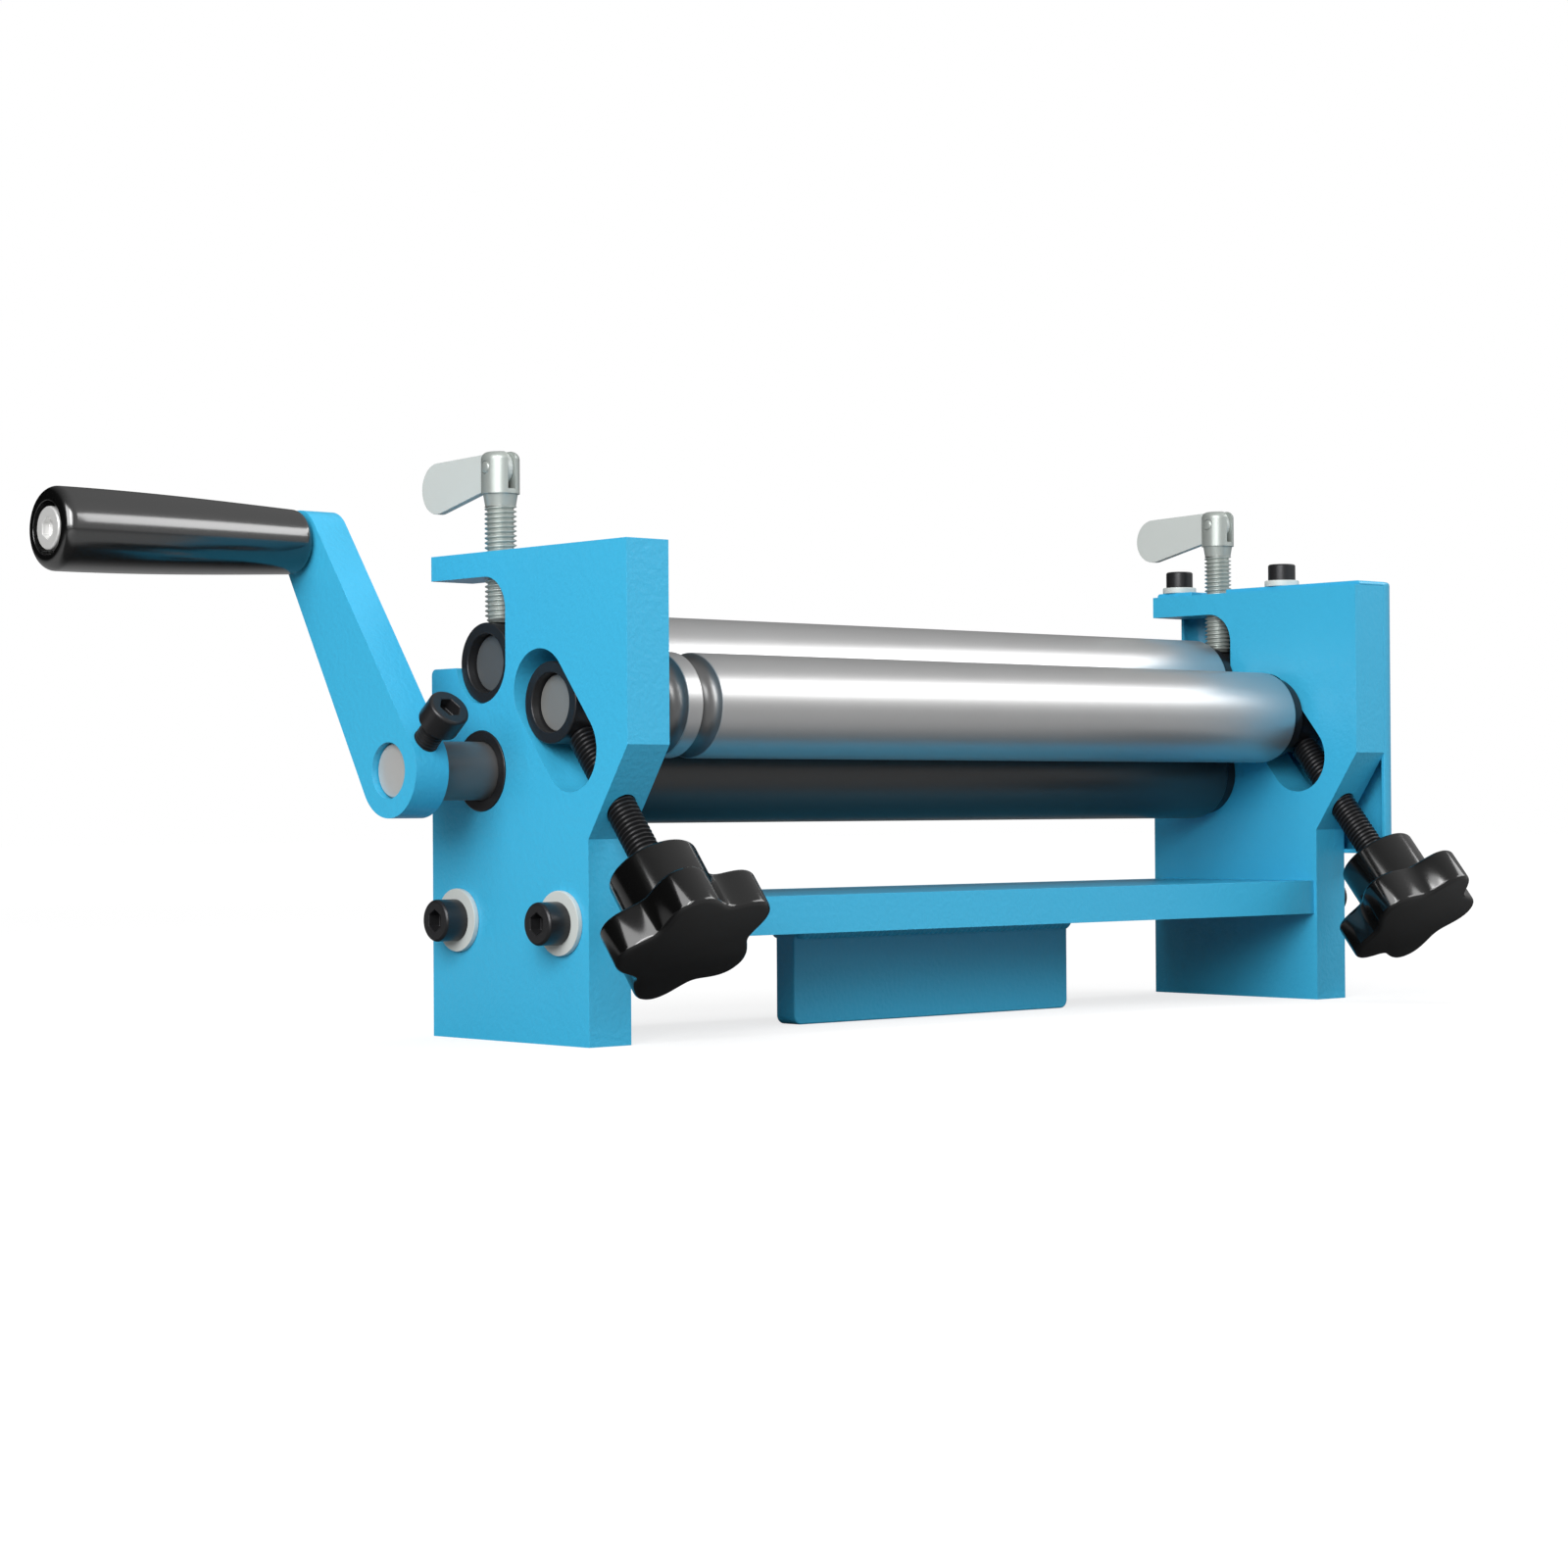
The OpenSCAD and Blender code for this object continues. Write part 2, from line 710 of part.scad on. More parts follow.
// Retaining clip in the groove past the gear, open at the bottom
module gear_clip(z) {
    width = journal_d * clip_width_share;
    inner_r = journal_d / 2 - clip_depth + run_clear;
    color(dark_steel) to_x(clip_x, drive_y, z) difference() {
        cylinder(r = inner_r + width, h = clip_t);
        translate([0, 0, -over]) cylinder(r = inner_r, h = clip_t + 2 * over);
        translate([0, -key_w / 2, -over]) cube([journal_d, key_w, clip_t + 2 * over]);
    }
}

module lower_gear_clip() {
    gear_clip(lower_z);
}

module upper_gear_clip() {
    gear_clip(upper_z);
}

// Places of the two cover screws along Y
function cover_screw_ys() = [drive_y + cover_screw_back, drive_y - cover_screw_front];

// Plan of the gear cover: square at the plate and rounded outside, drawn inset by a wall
module cover_plan(inset) {
    r = min(cover_r, cover_outer_x - outer_x) - inset;
    front = -plate_front + inset;
    depth = plate_front + plate_back - 2 * inset;
    far_x = cover_outer_x - inset;
    translate([outer_x, front]) square([far_x - r - outer_x, depth]);
    translate([outer_x, front + r]) square([far_x - outer_x, depth - 2 * r]);
    intersection() {
        translate([outer_x, front]) square([far_x - outer_x, depth]);
        for (y = [front + r, front + depth - r]) translate([far_x - r, y]) circle(r);
    }
}

// Sheet cover over the gears, with a top flange that is screwed to the plate's edge
module gear_cover() {
    flange_x = inner_x + flange_setback;
    color(blue) {
        difference() {
            translate([0, 0, cover_floor_z])
                linear_extrude(plate_h + cover_t - cover_floor_z) cover_plan(0);
            translate([0, 0, cover_floor_z + cover_t])
                linear_extrude(plate_h - cover_floor_z - cover_t) union() {
                    cover_plan(cover_t);
                    translate([outer_x - over, -plate_front + cover_t])
                        square([2 * over, plate_front + plate_back - 2 * cover_t]);
                }
        }
        difference() {
            translate([flange_x, -plate_front, plate_h])
                cube([outer_x - flange_x, plate_front + plate_back, cover_t]);
            translate([plate_mid_x, drive_y, plate_h - over])
                cylinder(r = notch_r, h = cover_t + 2 * over);
            translate([flange_x - over, drive_y - notch_r, plate_h - over])
                cube([plate_mid_x - flange_x + over, 2 * notch_r, cover_t + 2 * over]);
            for (y = cover_screw_ys())
                translate([plate_mid_x, y, plate_h - over])
                    cylinder(r = cover_screw_d / 2 + hole_clear, h = cover_t + 2 * over);
        }
    }
}

module cover_screws() {
    color(black_oxide) for (y = cover_screw_ys())
        translate([plate_mid_x, y, plate_h + cover_t + cover_washer_t])
            cap_screw(cover_screw_d, cover_screw_l, cover_head_d, cover_head_h,
                      cover_head_d * socket_share);
}

module cover_washers() {
    color(zinc) for (y = cover_screw_ys())
        translate([plate_mid_x, y, plate_h + cover_t])
            washer(cover_washer_d, cover_screw_d / 2 + hole_clear, cover_washer_t);
}

// Places what is drawn with the shaft at the origin and the arm along +Y into the crank's plane
module in_crank_plane(x, length) {
    translate([0, drive_y, lower_z]) along_x(x, length) rotate(-crank_angle) children();
}

module crank_arm() {
    color(blue) difference() {
        in_crank_plane(crank_outer_x, crank_t) difference() {
            tapered_link(crank_boss_r, crank_tip_r, crank_l);
            circle(crank_shaft_d / 2 + run_clear);
            translate([0, crank_l]) circle(bolt_r + run_clear);
        }
        translate([crank_mid_x, drive_y, lower_z]) rotate([set_screw_angle, 0, 0])
            cylinder(r = bolt_r + run_clear, h = crank_boss_r + over);
    }
}

// Cap screw that presses on the shaft's flat
module crank_set_screw() {
    seat = crank_shaft_d / 2 - shaft_flat;
    head_foot = set_screw_reach - bolt_head_h;
    color(black_oxide) translate([crank_mid_x, drive_y, lower_z]) rotate([set_screw_angle, 0, 0])
        translate([0, 0, head_foot])
            cap_screw(bolt_d, head_foot - seat - tip_clear, bolt_head_d, bolt_head_h, bolt_socket);
}

// Bolt that the grip turns on, screwed into the crank arm
module handle_bolt() {
    color(zinc) translate([grip_x - grip_l + grip_recess, handle_y, handle_z]) rotate([0, -90, 0])
        cap_screw(bolt_d, handle_bolt_l, bolt_head_d, handle_head_h, bolt_socket);
}

// Radius of the grip at a share s of its length, from the crank outwards
function grip_r(s) = grip_inner_d / 2 + (grip_outer_d - grip_inner_d) / 2 * sin(90 * s);

// Outline of the grip as radius and length from its outer end
function grip_outline() = concat(
    [[0, 0]],
    [for (k = [0 : round_steps]) let (a = 90 * k / round_steps) [
        grip_r(1) - grip_outer_r + grip_outer_r * sin(a),
        grip_outer_r - grip_outer_r * cos(a)
    ]],
    [for (k = [1 : grip_steps - 1]) let (s = k / grip_steps) [
        grip_r(1 - s), grip_outer_r + (grip_l - grip_outer_r - grip_inner_r) * s
    ]],
    [for (k = [0 : round_steps]) let (a = 90 * k / round_steps) [
        grip_inner_d / 2 - grip_inner_r + grip_inner_r * cos(a),
        grip_l - grip_inner_r + grip_inner_r * sin(a)
    ]],
    [[0, grip_l]]
);

module handle_grip() {
    color(gloss_black) to_x(grip_x - grip_l, handle_y, handle_z) difference() {
        rotate_extrude() polygon(grip_outline());
        translate([0, 0, -over]) cylinder(r = bolt_r + run_clear, h = grip_l + 2 * over);
        translate([0, 0, -over]) cylinder(d = grip_recess_d, h = grip_recess + tip_clear + over);
    }
}

// Threaded wing screw: rod, tapered neck and a slotted head for the paddle
module wing_screw() {
    rod_foot = upper_z + tip_reach;
    dome = wing_head_d * dome_share;
    color(zinc) translate([-plate_mid_x, drive_y, 0]) difference() {
        union() {
            translate([0, 0, rod_foot]) cylinder(r = screw_r, h = wing_neck_z - rod_foot);
            translate([0, 0, wing_neck_z])
                cylinder(d1 = screw_d * neck_foot_share, d2 = wing_head_d * neck_top_share,
                         h = wing_neck);
            translate([0, 0, wing_head_z]) rotate_extrude() {
                square([wing_head_d / 2, wing_head_h - dome]);
                square([wing_head_d / 2 - dome, wing_head_h]);
                translate([wing_head_d / 2 - dome, wing_head_h - dome]) intersection() {
                    circle(dome);
                    square(dome);
                }
            }
        }
        translate([-paddle_gap_r, -wing_head_d, pin_z - paddle_foot()])
            cube([2 * paddle_gap_r, 2 * wing_head_d, wing_head_h + over]);
        to_x(-wing_head_d, 0, pin_z) cylinder(r = wing_pin_d / 2 + run_clear, h = 2 * wing_head_d);
    }
}

// How far below the pin the slot's floor lies, so that the drooping paddle just rests on it
function paddle_foot() = (paddle_root_r + wing_head_d / 2 * sin(paddle_droop + paddle_flare()))
    / cos(paddle_droop + paddle_flare()) + tip_clear;

// Angle by which the paddle's edges spread from its centre line
function paddle_flare() = asin((paddle_r - paddle_root_r) / paddle_l);

module wing_screw_left() {
    wing_screw();
}

module wing_screw_right() {
    at_right() wing_screw();
}

// Pin across the slotted head, which the paddle folds on
module wing_pin() {
    color(zinc) to_x(-plate_mid_x - wing_head_d / 2, drive_y, pin_z)
        cylinder(d = wing_pin_d, h = wing_head_d);
}

module wing_pin_left() {
    wing_pin();
}

module wing_pin_right() {
    at_right() wing_pin();
}

module wing_paddle() {
    color(zinc) translate([0, drive_y, pin_z]) along_x(-plate_mid_x - paddle_t / 2, paddle_t)
        rotate(-90 - paddle_droop) difference() {
            tapered_link(paddle_root_r, paddle_r, paddle_l);
            circle(wing_pin_d / 2 + run_clear);
        }
}

module wing_paddle_left() {
    wing_paddle();
}

module wing_paddle_right() {
    at_right() wing_paddle();
}

// Screw that pushes the bending bush up its slot
module star_screw(x, reach) {
    length = reach + knob_hub_h - tip_reach;
    color(black_oxide) on_slot_axis(x)
        translate([0, 0, -tip_reach - length]) cylinder(r = screw_r, h = length);
}

module star_screw_left() {
    star_screw(-plate_mid_x, knob_reach);
}

module star_screw_right() {
    star_screw(plate_mid_x, knob_reach + knob_step);
}

// Radius of the star's outline at an angle from a lobe's tip
function star_r(a) = knob_tip_r
    - (knob_tip_r - knob_valley_r) * pow((1 - cos(knob_lobes * a)) / 2, lobe_share);

// Star knob with a round hub, on the screw's outer end
module star_knob(x, reach, turn) {
    lobe_top = -reach - knob_hub_h;
    color(gloss_black) on_slot_axis(x) rotate(turn) difference() {
        union() {
            translate([0, 0, lobe_top - knob_lobe_t]) linear_extrude(knob_lobe_t) polygon([
                for (k = [0 : star_steps - 1])
                    let (a = 360 * k / star_steps) [star_r(a) * cos(a), star_r(a) * sin(a)]
            ]);
            translate([0, 0, lobe_top - knob_lobe_t / 2])
                cylinder(d = knob_hub_d, h = knob_hub_h + knob_lobe_t / 2);
        }
        translate([0, 0, lobe_top - tip_clear])
            cylinder(r = screw_hole_r, h = knob_hub_h + tip_clear + over);
    }
}

module star_knob_left() {
    star_knob(-plate_mid_x, knob_reach, knob_turns[0]);
}

module star_knob_right() {
    star_knob(plate_mid_x, knob_reach + knob_step, knob_turns[1]);
}

left_end_plate();
right_end_plate();
base_plate();
vise_tab();
base_screws();
base_washers();
lower_bush_left();
lower_bush_right();
gear_cover();
cover_screws();
cover_washers();
lower_roll();
lower_gear();
lower_gear_key();
lower_gear_clip();
crank_arm();
crank_set_screw();
handle_bolt();
handle_grip();
upper_roll();
upper_gear();
upper_gear_key();
upper_gear_clip();
upper_bush_left();
upper_bush_right();
wing_screw_left();
wing_screw_right();
wing_pin_left();
wing_pin_right();
wing_paddle_left();
wing_paddle_right();
bend_roll();
bend_bush_left();
bend_bush_right();
star_screw_left();
star_screw_right();
star_knob_left();
star_knob_right();
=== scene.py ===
"""Dressed model of a bench slip roll machine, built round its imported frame.

Every piece is made in metres in the frame of the solids: +X along the rolls to the gear end, +Y to
the back, +Z up, with the origin under the middle of the vise tab.
"""

import json
import logging
import math
from collections.abc import Callable, Iterable, Sequence
from dataclasses import dataclass
from enum import Enum

import bmesh
import bpy
from mathutils import Matrix, Vector


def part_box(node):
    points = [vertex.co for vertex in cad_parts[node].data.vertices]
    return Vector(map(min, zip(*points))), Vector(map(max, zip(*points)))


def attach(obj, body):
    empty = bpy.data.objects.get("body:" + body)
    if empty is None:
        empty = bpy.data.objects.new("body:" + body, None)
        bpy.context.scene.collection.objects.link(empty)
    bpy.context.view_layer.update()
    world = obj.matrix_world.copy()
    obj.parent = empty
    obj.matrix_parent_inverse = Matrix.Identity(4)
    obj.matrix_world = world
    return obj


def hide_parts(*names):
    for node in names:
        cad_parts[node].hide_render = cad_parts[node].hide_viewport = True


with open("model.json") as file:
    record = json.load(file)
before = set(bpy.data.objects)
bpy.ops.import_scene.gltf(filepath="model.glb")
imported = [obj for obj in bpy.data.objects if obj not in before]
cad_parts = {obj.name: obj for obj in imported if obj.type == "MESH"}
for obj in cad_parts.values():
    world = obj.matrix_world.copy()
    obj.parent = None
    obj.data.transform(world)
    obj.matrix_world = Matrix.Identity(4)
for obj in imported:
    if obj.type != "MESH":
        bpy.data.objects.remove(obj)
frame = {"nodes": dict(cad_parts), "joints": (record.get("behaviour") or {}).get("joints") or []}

LOG = logging.getLogger("slip_roll")
MM = 0.001
ROUND_STEPS = 128
THREAD_STEPS = 36
PIN_STEPS = 48
DOME_STEPS = 6
ARC_STEPS = 6
GROOVE_STEPS = 14
BEAD_STEPS = 16
RIPPLE_ROWS = 6
RIPPLE_LEAN = 0.16
MERGE_DISTANCE = 0.002 * MM
CUT_DISTANCE = 0.0002 * MM
SHARP_ANGLE = math.radians(32)
ROLL_SHARP = math.radians(28)
KNOB_SHARP = math.radians(40)
BEVEL_ANGLE = math.radians(24)
FLAT_ANGLE = math.radians(0.4)
BARREL_END = 155.0 * MM
PLAIN_END = 171.7 * MM
CRANK_END = 209.2 * MM
END_SKIN = 0.2 * MM
MIX_COLOURS = slice(6, 8)
MIX_RESULT = 2
VECTORS = "ShaderNodeVectorMath"
ACROSS_X = (0.0, 1.0, 1.0)
WHITE = (1.0, 1.0, 1.0, 1.0)
SIDES = ("left", "right")
Pair = tuple[float, float]
Triple = tuple[float, float, float]


class Body(str, Enum):
    """Moving groups of the machine, as the frame names them."""

    FRAME = "frame"
    LOWER = "lower_drive"
    GRIP = "grip"
    UPPER_CARRIAGE = "upper_carriage"
    UPPER = "upper_drive"
    BEND_CARRIAGE = "bend_carriage"
    BEND = "bend_drive"


class Slot(str, Enum):
    """Material slots of the record."""

    BLUE = "blue_paint"
    ROLL = "roll_steel"
    DARK = "dark_steel"
    BLACK = "black_oxide"
    ZINC = "zinc"
    GLOSS = "gloss_black"


def joint_named(name: str) -> dict:
    """Give a joint's entry in the frame, with its place and axis at rest."""
    return next(joint for joint in frame["joints"] if joint["name"] == name)


def joint_place(name: str) -> Vector:
    """Give the point on a hinge's axis at rest."""
    return Vector(joint_named(name)["pos_m"])


def reach(node: str, point: Vector, axis: Vector) -> Pair:
    """Give the lowest and highest distance of a solid's points along a line from a point."""
    along = [(vert.co - point).dot(axis) for vert in frame["nodes"][node].data.vertices]
    return min(along), max(along)


class NodeKit:
    """Short ways to add and join shader nodes in one tree."""

    def __init__(self, tree: bpy.types.NodeTree) -> None:
        """Keep the tree that nodes are added to."""
        self.tree = tree

    def add(self, kind: str, **values: object) -> bpy.types.Node:
        """Add a node and set its properties.

        Args:
            kind: The node's type name.
            **values: Properties of the node by name.

        Returns:
            The new node.
        """
        node = self.tree.nodes.new(kind)
        for name, value in values.items():
            setattr(node, name, value)
        return node

    def give(self, sockets: Iterable[bpy.types.NodeSocket], values: Iterable[object]) -> None:
        """Set sockets, or link them where the value is another node's output.

        Args:
            sockets: The input sockets.
            values: A number, a vector, a colour or an output socket for each.
        """
        for socket, value in zip(sockets, values):
            if isinstance(value, bpy.types.NodeSocket):
                self.tree.links.new(value, socket)
            else:
                socket.default_value = value

    def feed(self, node: bpy.types.Node, **values: object) -> bpy.types.Node:
        """Give a node's inputs their values.

        Args:
            node: The node whose inputs are set.
            **values: Input names with underscores for spaces, and numbers or output sockets.

        Returns:
            The same node.
        """
        self.give([node.inputs[name.replace("_", " ")] for name in values], values.values())
        return node

    def place(self, space: str = "Object") -> bpy.types.NodeSocket:
        """Give the shaded point's coordinates."""
        return self.add("ShaderNodeTexCoord").outputs[space]

    def split(self, space: str = "Object") -> bpy.types.Node:
        """Separate the shaded point's coordinates into X, Y and Z."""
        return self.feed(self.add("ShaderNodeSeparateXYZ"), Vector=self.place(space))

    def math(self, operation: str, *values: object,
             kind: str = "ShaderNodeMath") -> bpy.types.NodeSocket:
        """Add a math node.

        Args:
            operation: The node's operation.
            *values: Numbers, vectors or output sockets.
            kind: The node's type name.

        Returns:
            The result's socket.
        """
        node = self.add(kind, operation=operation)
        self.give(node.inputs, values)
        return node.outputs["Value" if operation == "LENGTH" else 0]

    def blend(self, share: bpy.types.NodeSocket, first: object,
              second: object) -> bpy.types.NodeSocket:
        """Mix two colours.

        Args:
            share: Mask that is 0 for the first colour and 1 for the second.
            first: A colour or a colour socket.
            second: A colour or a colour socket.

        Returns:
            The mixed colour's socket.
        """
        node = self.add("ShaderNodeMix", data_type="RGBA")
        colours = [(*c, 1.0) if isinstance(c, tuple) else c for c in (first, second)]
        self.give(node.inputs[MIX_COLOURS], colours)
        return self.feed(node, Factor=share).outputs[MIX_RESULT]

    def spread(self, value: bpy.types.NodeSocket, low: float, high: float, start: float = 0.0,
               end: float = 1.0) -> bpy.types.NodeSocket:
        """Map a value from start..end to low..high.

        Args:
            value: The value's socket.
            low: Result at the start.
            high: Result at the end.
            start: Value that gives the low result.
            end: Value that gives the high result.

        Returns:
            The mapped value's socket.
        """
        node = self.feed(self.add("ShaderNodeMapRange"), Value=value, From_Min=start,
                         From_Max=end, To_Min=low, To_Max=high)
        return node.outputs["Result"]


@dataclass(frozen=True)
class Marks:
    """Fine marks on a surface, with slow clouds; rings lie round an axis along X."""

    name: str
    detail: float
    cloud_detail: float
    cloud_share: float
    roughness: float = 0.5
    rings: bool = False

    def build(self) -> bpy.types.NodeTree:
        """Make the node group that finishes share.

        Returns:
            A group from Scale to Height and Cloud.
        """
        tree = bpy.data.node_groups.new(self.name, "ShaderNodeTree")
        for label, way in (("Scale", "INPUT"), ("Height", "OUTPUT"), ("Cloud", "OUTPUT")):
            tree.interface.new_socket(name=label, in_out=way, socket_type="NodeSocketFloat")
        kit = NodeKit(tree)
        scale = kit.add("NodeGroupInput").outputs["Scale"]
        space = "1D" if self.rings else "3D"
        spot = {"W": kit.split().outputs["X"]} if self.rings else {"Vector": kit.place()}
        fine = kit.feed(kit.add("ShaderNodeTexNoise", noise_dimensions=space), Scale=scale,
                        Detail=self.detail, Roughness=self.roughness, **spot)
        broad = kit.feed(kit.add("ShaderNodeTexNoise", noise_dimensions=space),
                         Scale=kit.math("MULTIPLY", scale, self.cloud_share),
                         Detail=self.cloud_detail, **spot)
        kit.feed(kit.add("NodeGroupOutput"), Height=fine.outputs[0], Cloud=broad.outputs[0])
        return tree


PEEL = Marks("orange peel", detail=2.0, cloud_detail=1.0, cloud_share=0.03, roughness=0.45)
TURNING = Marks("turning marks", detail=3.0, cloud_detail=2.0, cloud_share=0.02, rings=True)


@dataclass(frozen=True)
class Finish:
    """A surface whose fine marks tilt its normal and vary its gloss."""

    name: str
    slot: Slot
    colour: Triple
    roughness: float = 0.3
    smoother: float = 0.04
    rougher: float = 0.05
    marks: Marks = PEEL
    mark_scale: float = 1800.0
    mark_height: float = 0.01 * MM
    mark_strength: float = 0.5

    def build(self, groups: dict[str, bpy.types.NodeTree]) -> bpy.types.Material:
        """Make the material.

        Args:
            groups: The shared node groups by the names of their marks.

        Returns:
            The finished material.
        """
        material, kit, shader = new_material(self.name)
        marks = kit.feed(kit.add("ShaderNodeGroup", node_tree=groups[self.marks.name]),
                         Scale=self.mark_scale)
        bump = kit.feed(kit.add("ShaderNodeBump"), Height=marks.outputs["Height"],
                        Strength=self.mark_strength, Distance=self.mark_height)
        cloud = marks.outputs["Cloud"]
        kit.feed(shader, Roughness=self.gloss(kit, cloud), Normal=bump.outputs["Normal"],
                 **self.inputs(kit, cloud))
        return material

    def gloss(self, kit: NodeKit, cloud: bpy.types.NodeSocket) -> bpy.types.NodeSocket:
        """Vary the roughness by the marks' slow clouds."""
        return kit.spread(cloud, self.roughness - self.smoother, self.roughness + self.rougher)

    def inputs(self, kit: NodeKit, cloud: bpy.types.NodeSocket) -> dict[str, object]:
        """Give the shader's other inputs."""
        return {"Base_Color": (*self.colour, 1.0)}


@dataclass(frozen=True, kw_only=True)
class Paint(Finish):
    """Sprayed and baked paint."""

    shade: Triple
    roughness: float = 0.35
    specular: float = 0.42
    low_cloud: float = 0.1
    high_cloud: float = 0.75
    mark_scale: float = 620.0
    mark_height: float = 0.30 * MM

    def inputs(self, kit: NodeKit, cloud: bpy.types.NodeSocket) -> dict[str, object]:
        """Give a colour that drifts towards a darker shade."""
        share = kit.spread(cloud, self.low_cloud, self.high_cloud)
        return {"Base_Color": kit.blend(share, self.colour, self.shade),
                "Specular_IOR_Level": self.specular}


@dataclass(frozen=True, kw_only=True)
class GroundSteel(Finish):
    """Steel ground or turned round an axis along X."""

    end_colour: Triple
    tip_colour: Triple
    tip_x: float
    barrel_half: float = BARREL_END + END_SKIN
    metallic: float = 0.8
    end_metallic: float = 0.4
    roughness: float = 0.37
    end_roughness: float = 0.42
    smoother: float = 0.025
    rougher: float = 0.025
    marks: Marks = TURNING
    mark_scale: float = 2400.0
    mark_height: float = 0.003 * MM
    mark_strength: float = 0.2
    axis: Triple = (0.0, 0.0, 0.0)
    ground_r: float = 0.0
    # painted shade: the colour that darkens the inside of the wire grooves
    painted_groove_shade: Triple = (0.21, 0.21, 0.21)

    def gloss(self, kit: NodeKit, cloud: bpy.types.NodeSocket) -> bpy.types.NodeSocket:
        """Vary the roughness by streaks, with the barrel's ends duller."""
        level = kit.spread(self.beyond(kit, self.barrel_half), self.roughness, self.end_roughness)
        return kit.math("ADD", level, kit.spread(cloud, -self.smoother, self.rougher))

    def inputs(self, kit: NodeKit, cloud: bpy.types.NodeSocket) -> dict[str, object]:
        """Colour the barrel with painted shade in its wire grooves, and colour its ends and the
        journals' tips.

        Args:
            kit: Builds the nodes.
            cloud: Mask of slow streaks; not used.

        Returns:
            The shader's inputs by name.
        """
        past_end = self.beyond(kit, self.barrel_half)
        # painted shade: the wire grooves take a darker colour below the ground radius
        groove_shade_mask = kit.math("LESS_THAN", self.radius(kit), self.ground_r)
        barrel = kit.blend(groove_shade_mask, self.colour, self.painted_groove_shade)
        barrel = kit.blend(past_end, barrel, self.end_colour)
        return {"Base_Color": kit.blend(self.beyond(kit, self.tip_x), barrel, self.tip_colour),
                "Metallic": kit.spread(past_end, self.metallic, self.end_metallic)}

    def beyond(self, kit: NodeKit, x: float) -> bpy.types.NodeSocket:
        """Mask what lies further from the machine's middle than x."""
        return kit.math("GREATER_THAN", kit.math("ABSOLUTE", kit.split().outputs["X"]), x)

    def radius(self, kit: NodeKit) -> bpy.types.NodeSocket:
        """Measure how far the surface lies from the roll's axis."""
        across = kit.math("MULTIPLY", kit.math("SUBTRACT", kit.place(), self.axis, kind=VECTORS),
                          ACROSS_X, kind=VECTORS)
        return kit.math("LENGTH", across, kind=VECTORS)


@dataclass(frozen=True, kw_only=True)
class PlatedSteel(Finish):
    """Plated, oxidised or cast metal with a fine even grain."""

    rougher: float = 0.06
    metallic: float = 1.0

    def inputs(self, kit: NodeKit, cloud: bpy.types.NodeSocket) -> dict[str, object]:
        """Give an even colour and how metallic it is."""
        return {"Base_Color": (*self.colour, 1.0), "Metallic": self.metallic}


@dataclass(frozen=True, kw_only=True)
class MouldedPlastic(Finish):
    """Polished moulded plastic with slow waves and a clear coat."""

    roughness: float = 0.13
    smoother: float = 0.02
    ior: float = 1.52
    coat: float = 0.2
    coat_roughness: float = 0.1
    mark_scale: float = 260.0
    mark_height: float = 0.02 * MM
    mark_strength: float = 0.25

    def inputs(self, kit: NodeKit, cloud: bpy.types.NodeSocket) -> dict[str, object]:
        """Give an even colour under the coat."""
        return {"Base_Color": (*self.colour, 1.0), "IOR": self.ior, "Coat_Weight": self.coat,
                "Coat_Roughness": self.coat_roughness, "Coat_IOR": self.ior}


def new_material(name: str) -> tuple[bpy.types.Material, NodeKit, bpy.types.Node]:
    """Start a material with one Principled shader.

    Args:
        name: The material's name.

    Returns:
        The material, a kit for its tree and its shader node.
    """
    material = bpy.data.materials.new(name)
    material.use_nodes = True
    shader = next(n for n in material.node_tree.nodes if n.type == "BSDF_PRINCIPLED")
    return material, NodeKit(material.node_tree), shader


PAINT = Paint("blue enamel", Slot.BLUE, (0.046, 0.415, 0.660), shade=(0.040, 0.380, 0.625))
UPPER_ROLL = GroundSteel("upper roll steel", Slot.ROLL, (0.50, 0.50, 0.50),
                         end_colour=(0.15, 0.15, 0.15), tip_colour=(0.125, 0.135, 0.14),
                         tip_x=PLAIN_END - END_SKIN)
# the bending roll's ground radius also bounds the painted shade in its grooves
BEND_ROLL = GroundSteel("bending roll steel", Slot.ROLL, (0.50, 0.50, 0.50),
                        end_colour=(0.15, 0.15, 0.15), tip_colour=(0.26, 0.26, 0.25),
                        tip_x=PLAIN_END - END_SKIN, axis=tuple(joint_place("bend_turn")),
                        ground_r=16.2 * MM)
LOWER_ROLL = GroundSteel("oiled roll steel", Slot.DARK, (0.080, 0.078, 0.077),
                         end_colour=(0.135, 0.132, 0.130), tip_colour=(0.55, 0.545, 0.53),
                         tip_x=CRANK_END - END_SKIN)
SHAFT_END = PlatedSteel("turned shaft steel", Slot.DARK, (0.42, 0.41, 0.40), roughness=0.36)
BLACK = PlatedSteel("black oxide steel", Slot.BLACK, (0.034, 0.034, 0.036), roughness=0.32,
                    metallic=0.6)
ZINC = PlatedSteel("zinc plated steel", Slot.ZINC, (0.575, 0.61, 0.59), roughness=0.48,
                   metallic=0.1)
ZINC_SCREW = PlatedSteel("zinc plated screw steel", Slot.ZINC, (0.42, 0.455, 0.43),
                         roughness=0.38, metallic=0.5)
BRIGHT_ZINC = PlatedSteel("bright screw steel", Slot.ZINC, (0.72, 0.72, 0.71), metallic=0.4)
GLOSS = MouldedPlastic("polished black plastic", Slot.GLOSS, (0.003, 0.003, 0.003))
GRIP_GLOSS = MouldedPlastic("polished black grip", Slot.GLOSS, (0.003, 0.003, 0.003),
                            roughness=0.18, ior=1.75, coat=0.6, coat_roughness=0.14)
FINISHES = (PAINT, UPPER_ROLL, BEND_ROLL, LOWER_ROLL, SHAFT_END, BLACK, ZINC, ZINC_SCREW,
            BRIGHT_ZINC, GLOSS, GRIP_GLOSS)


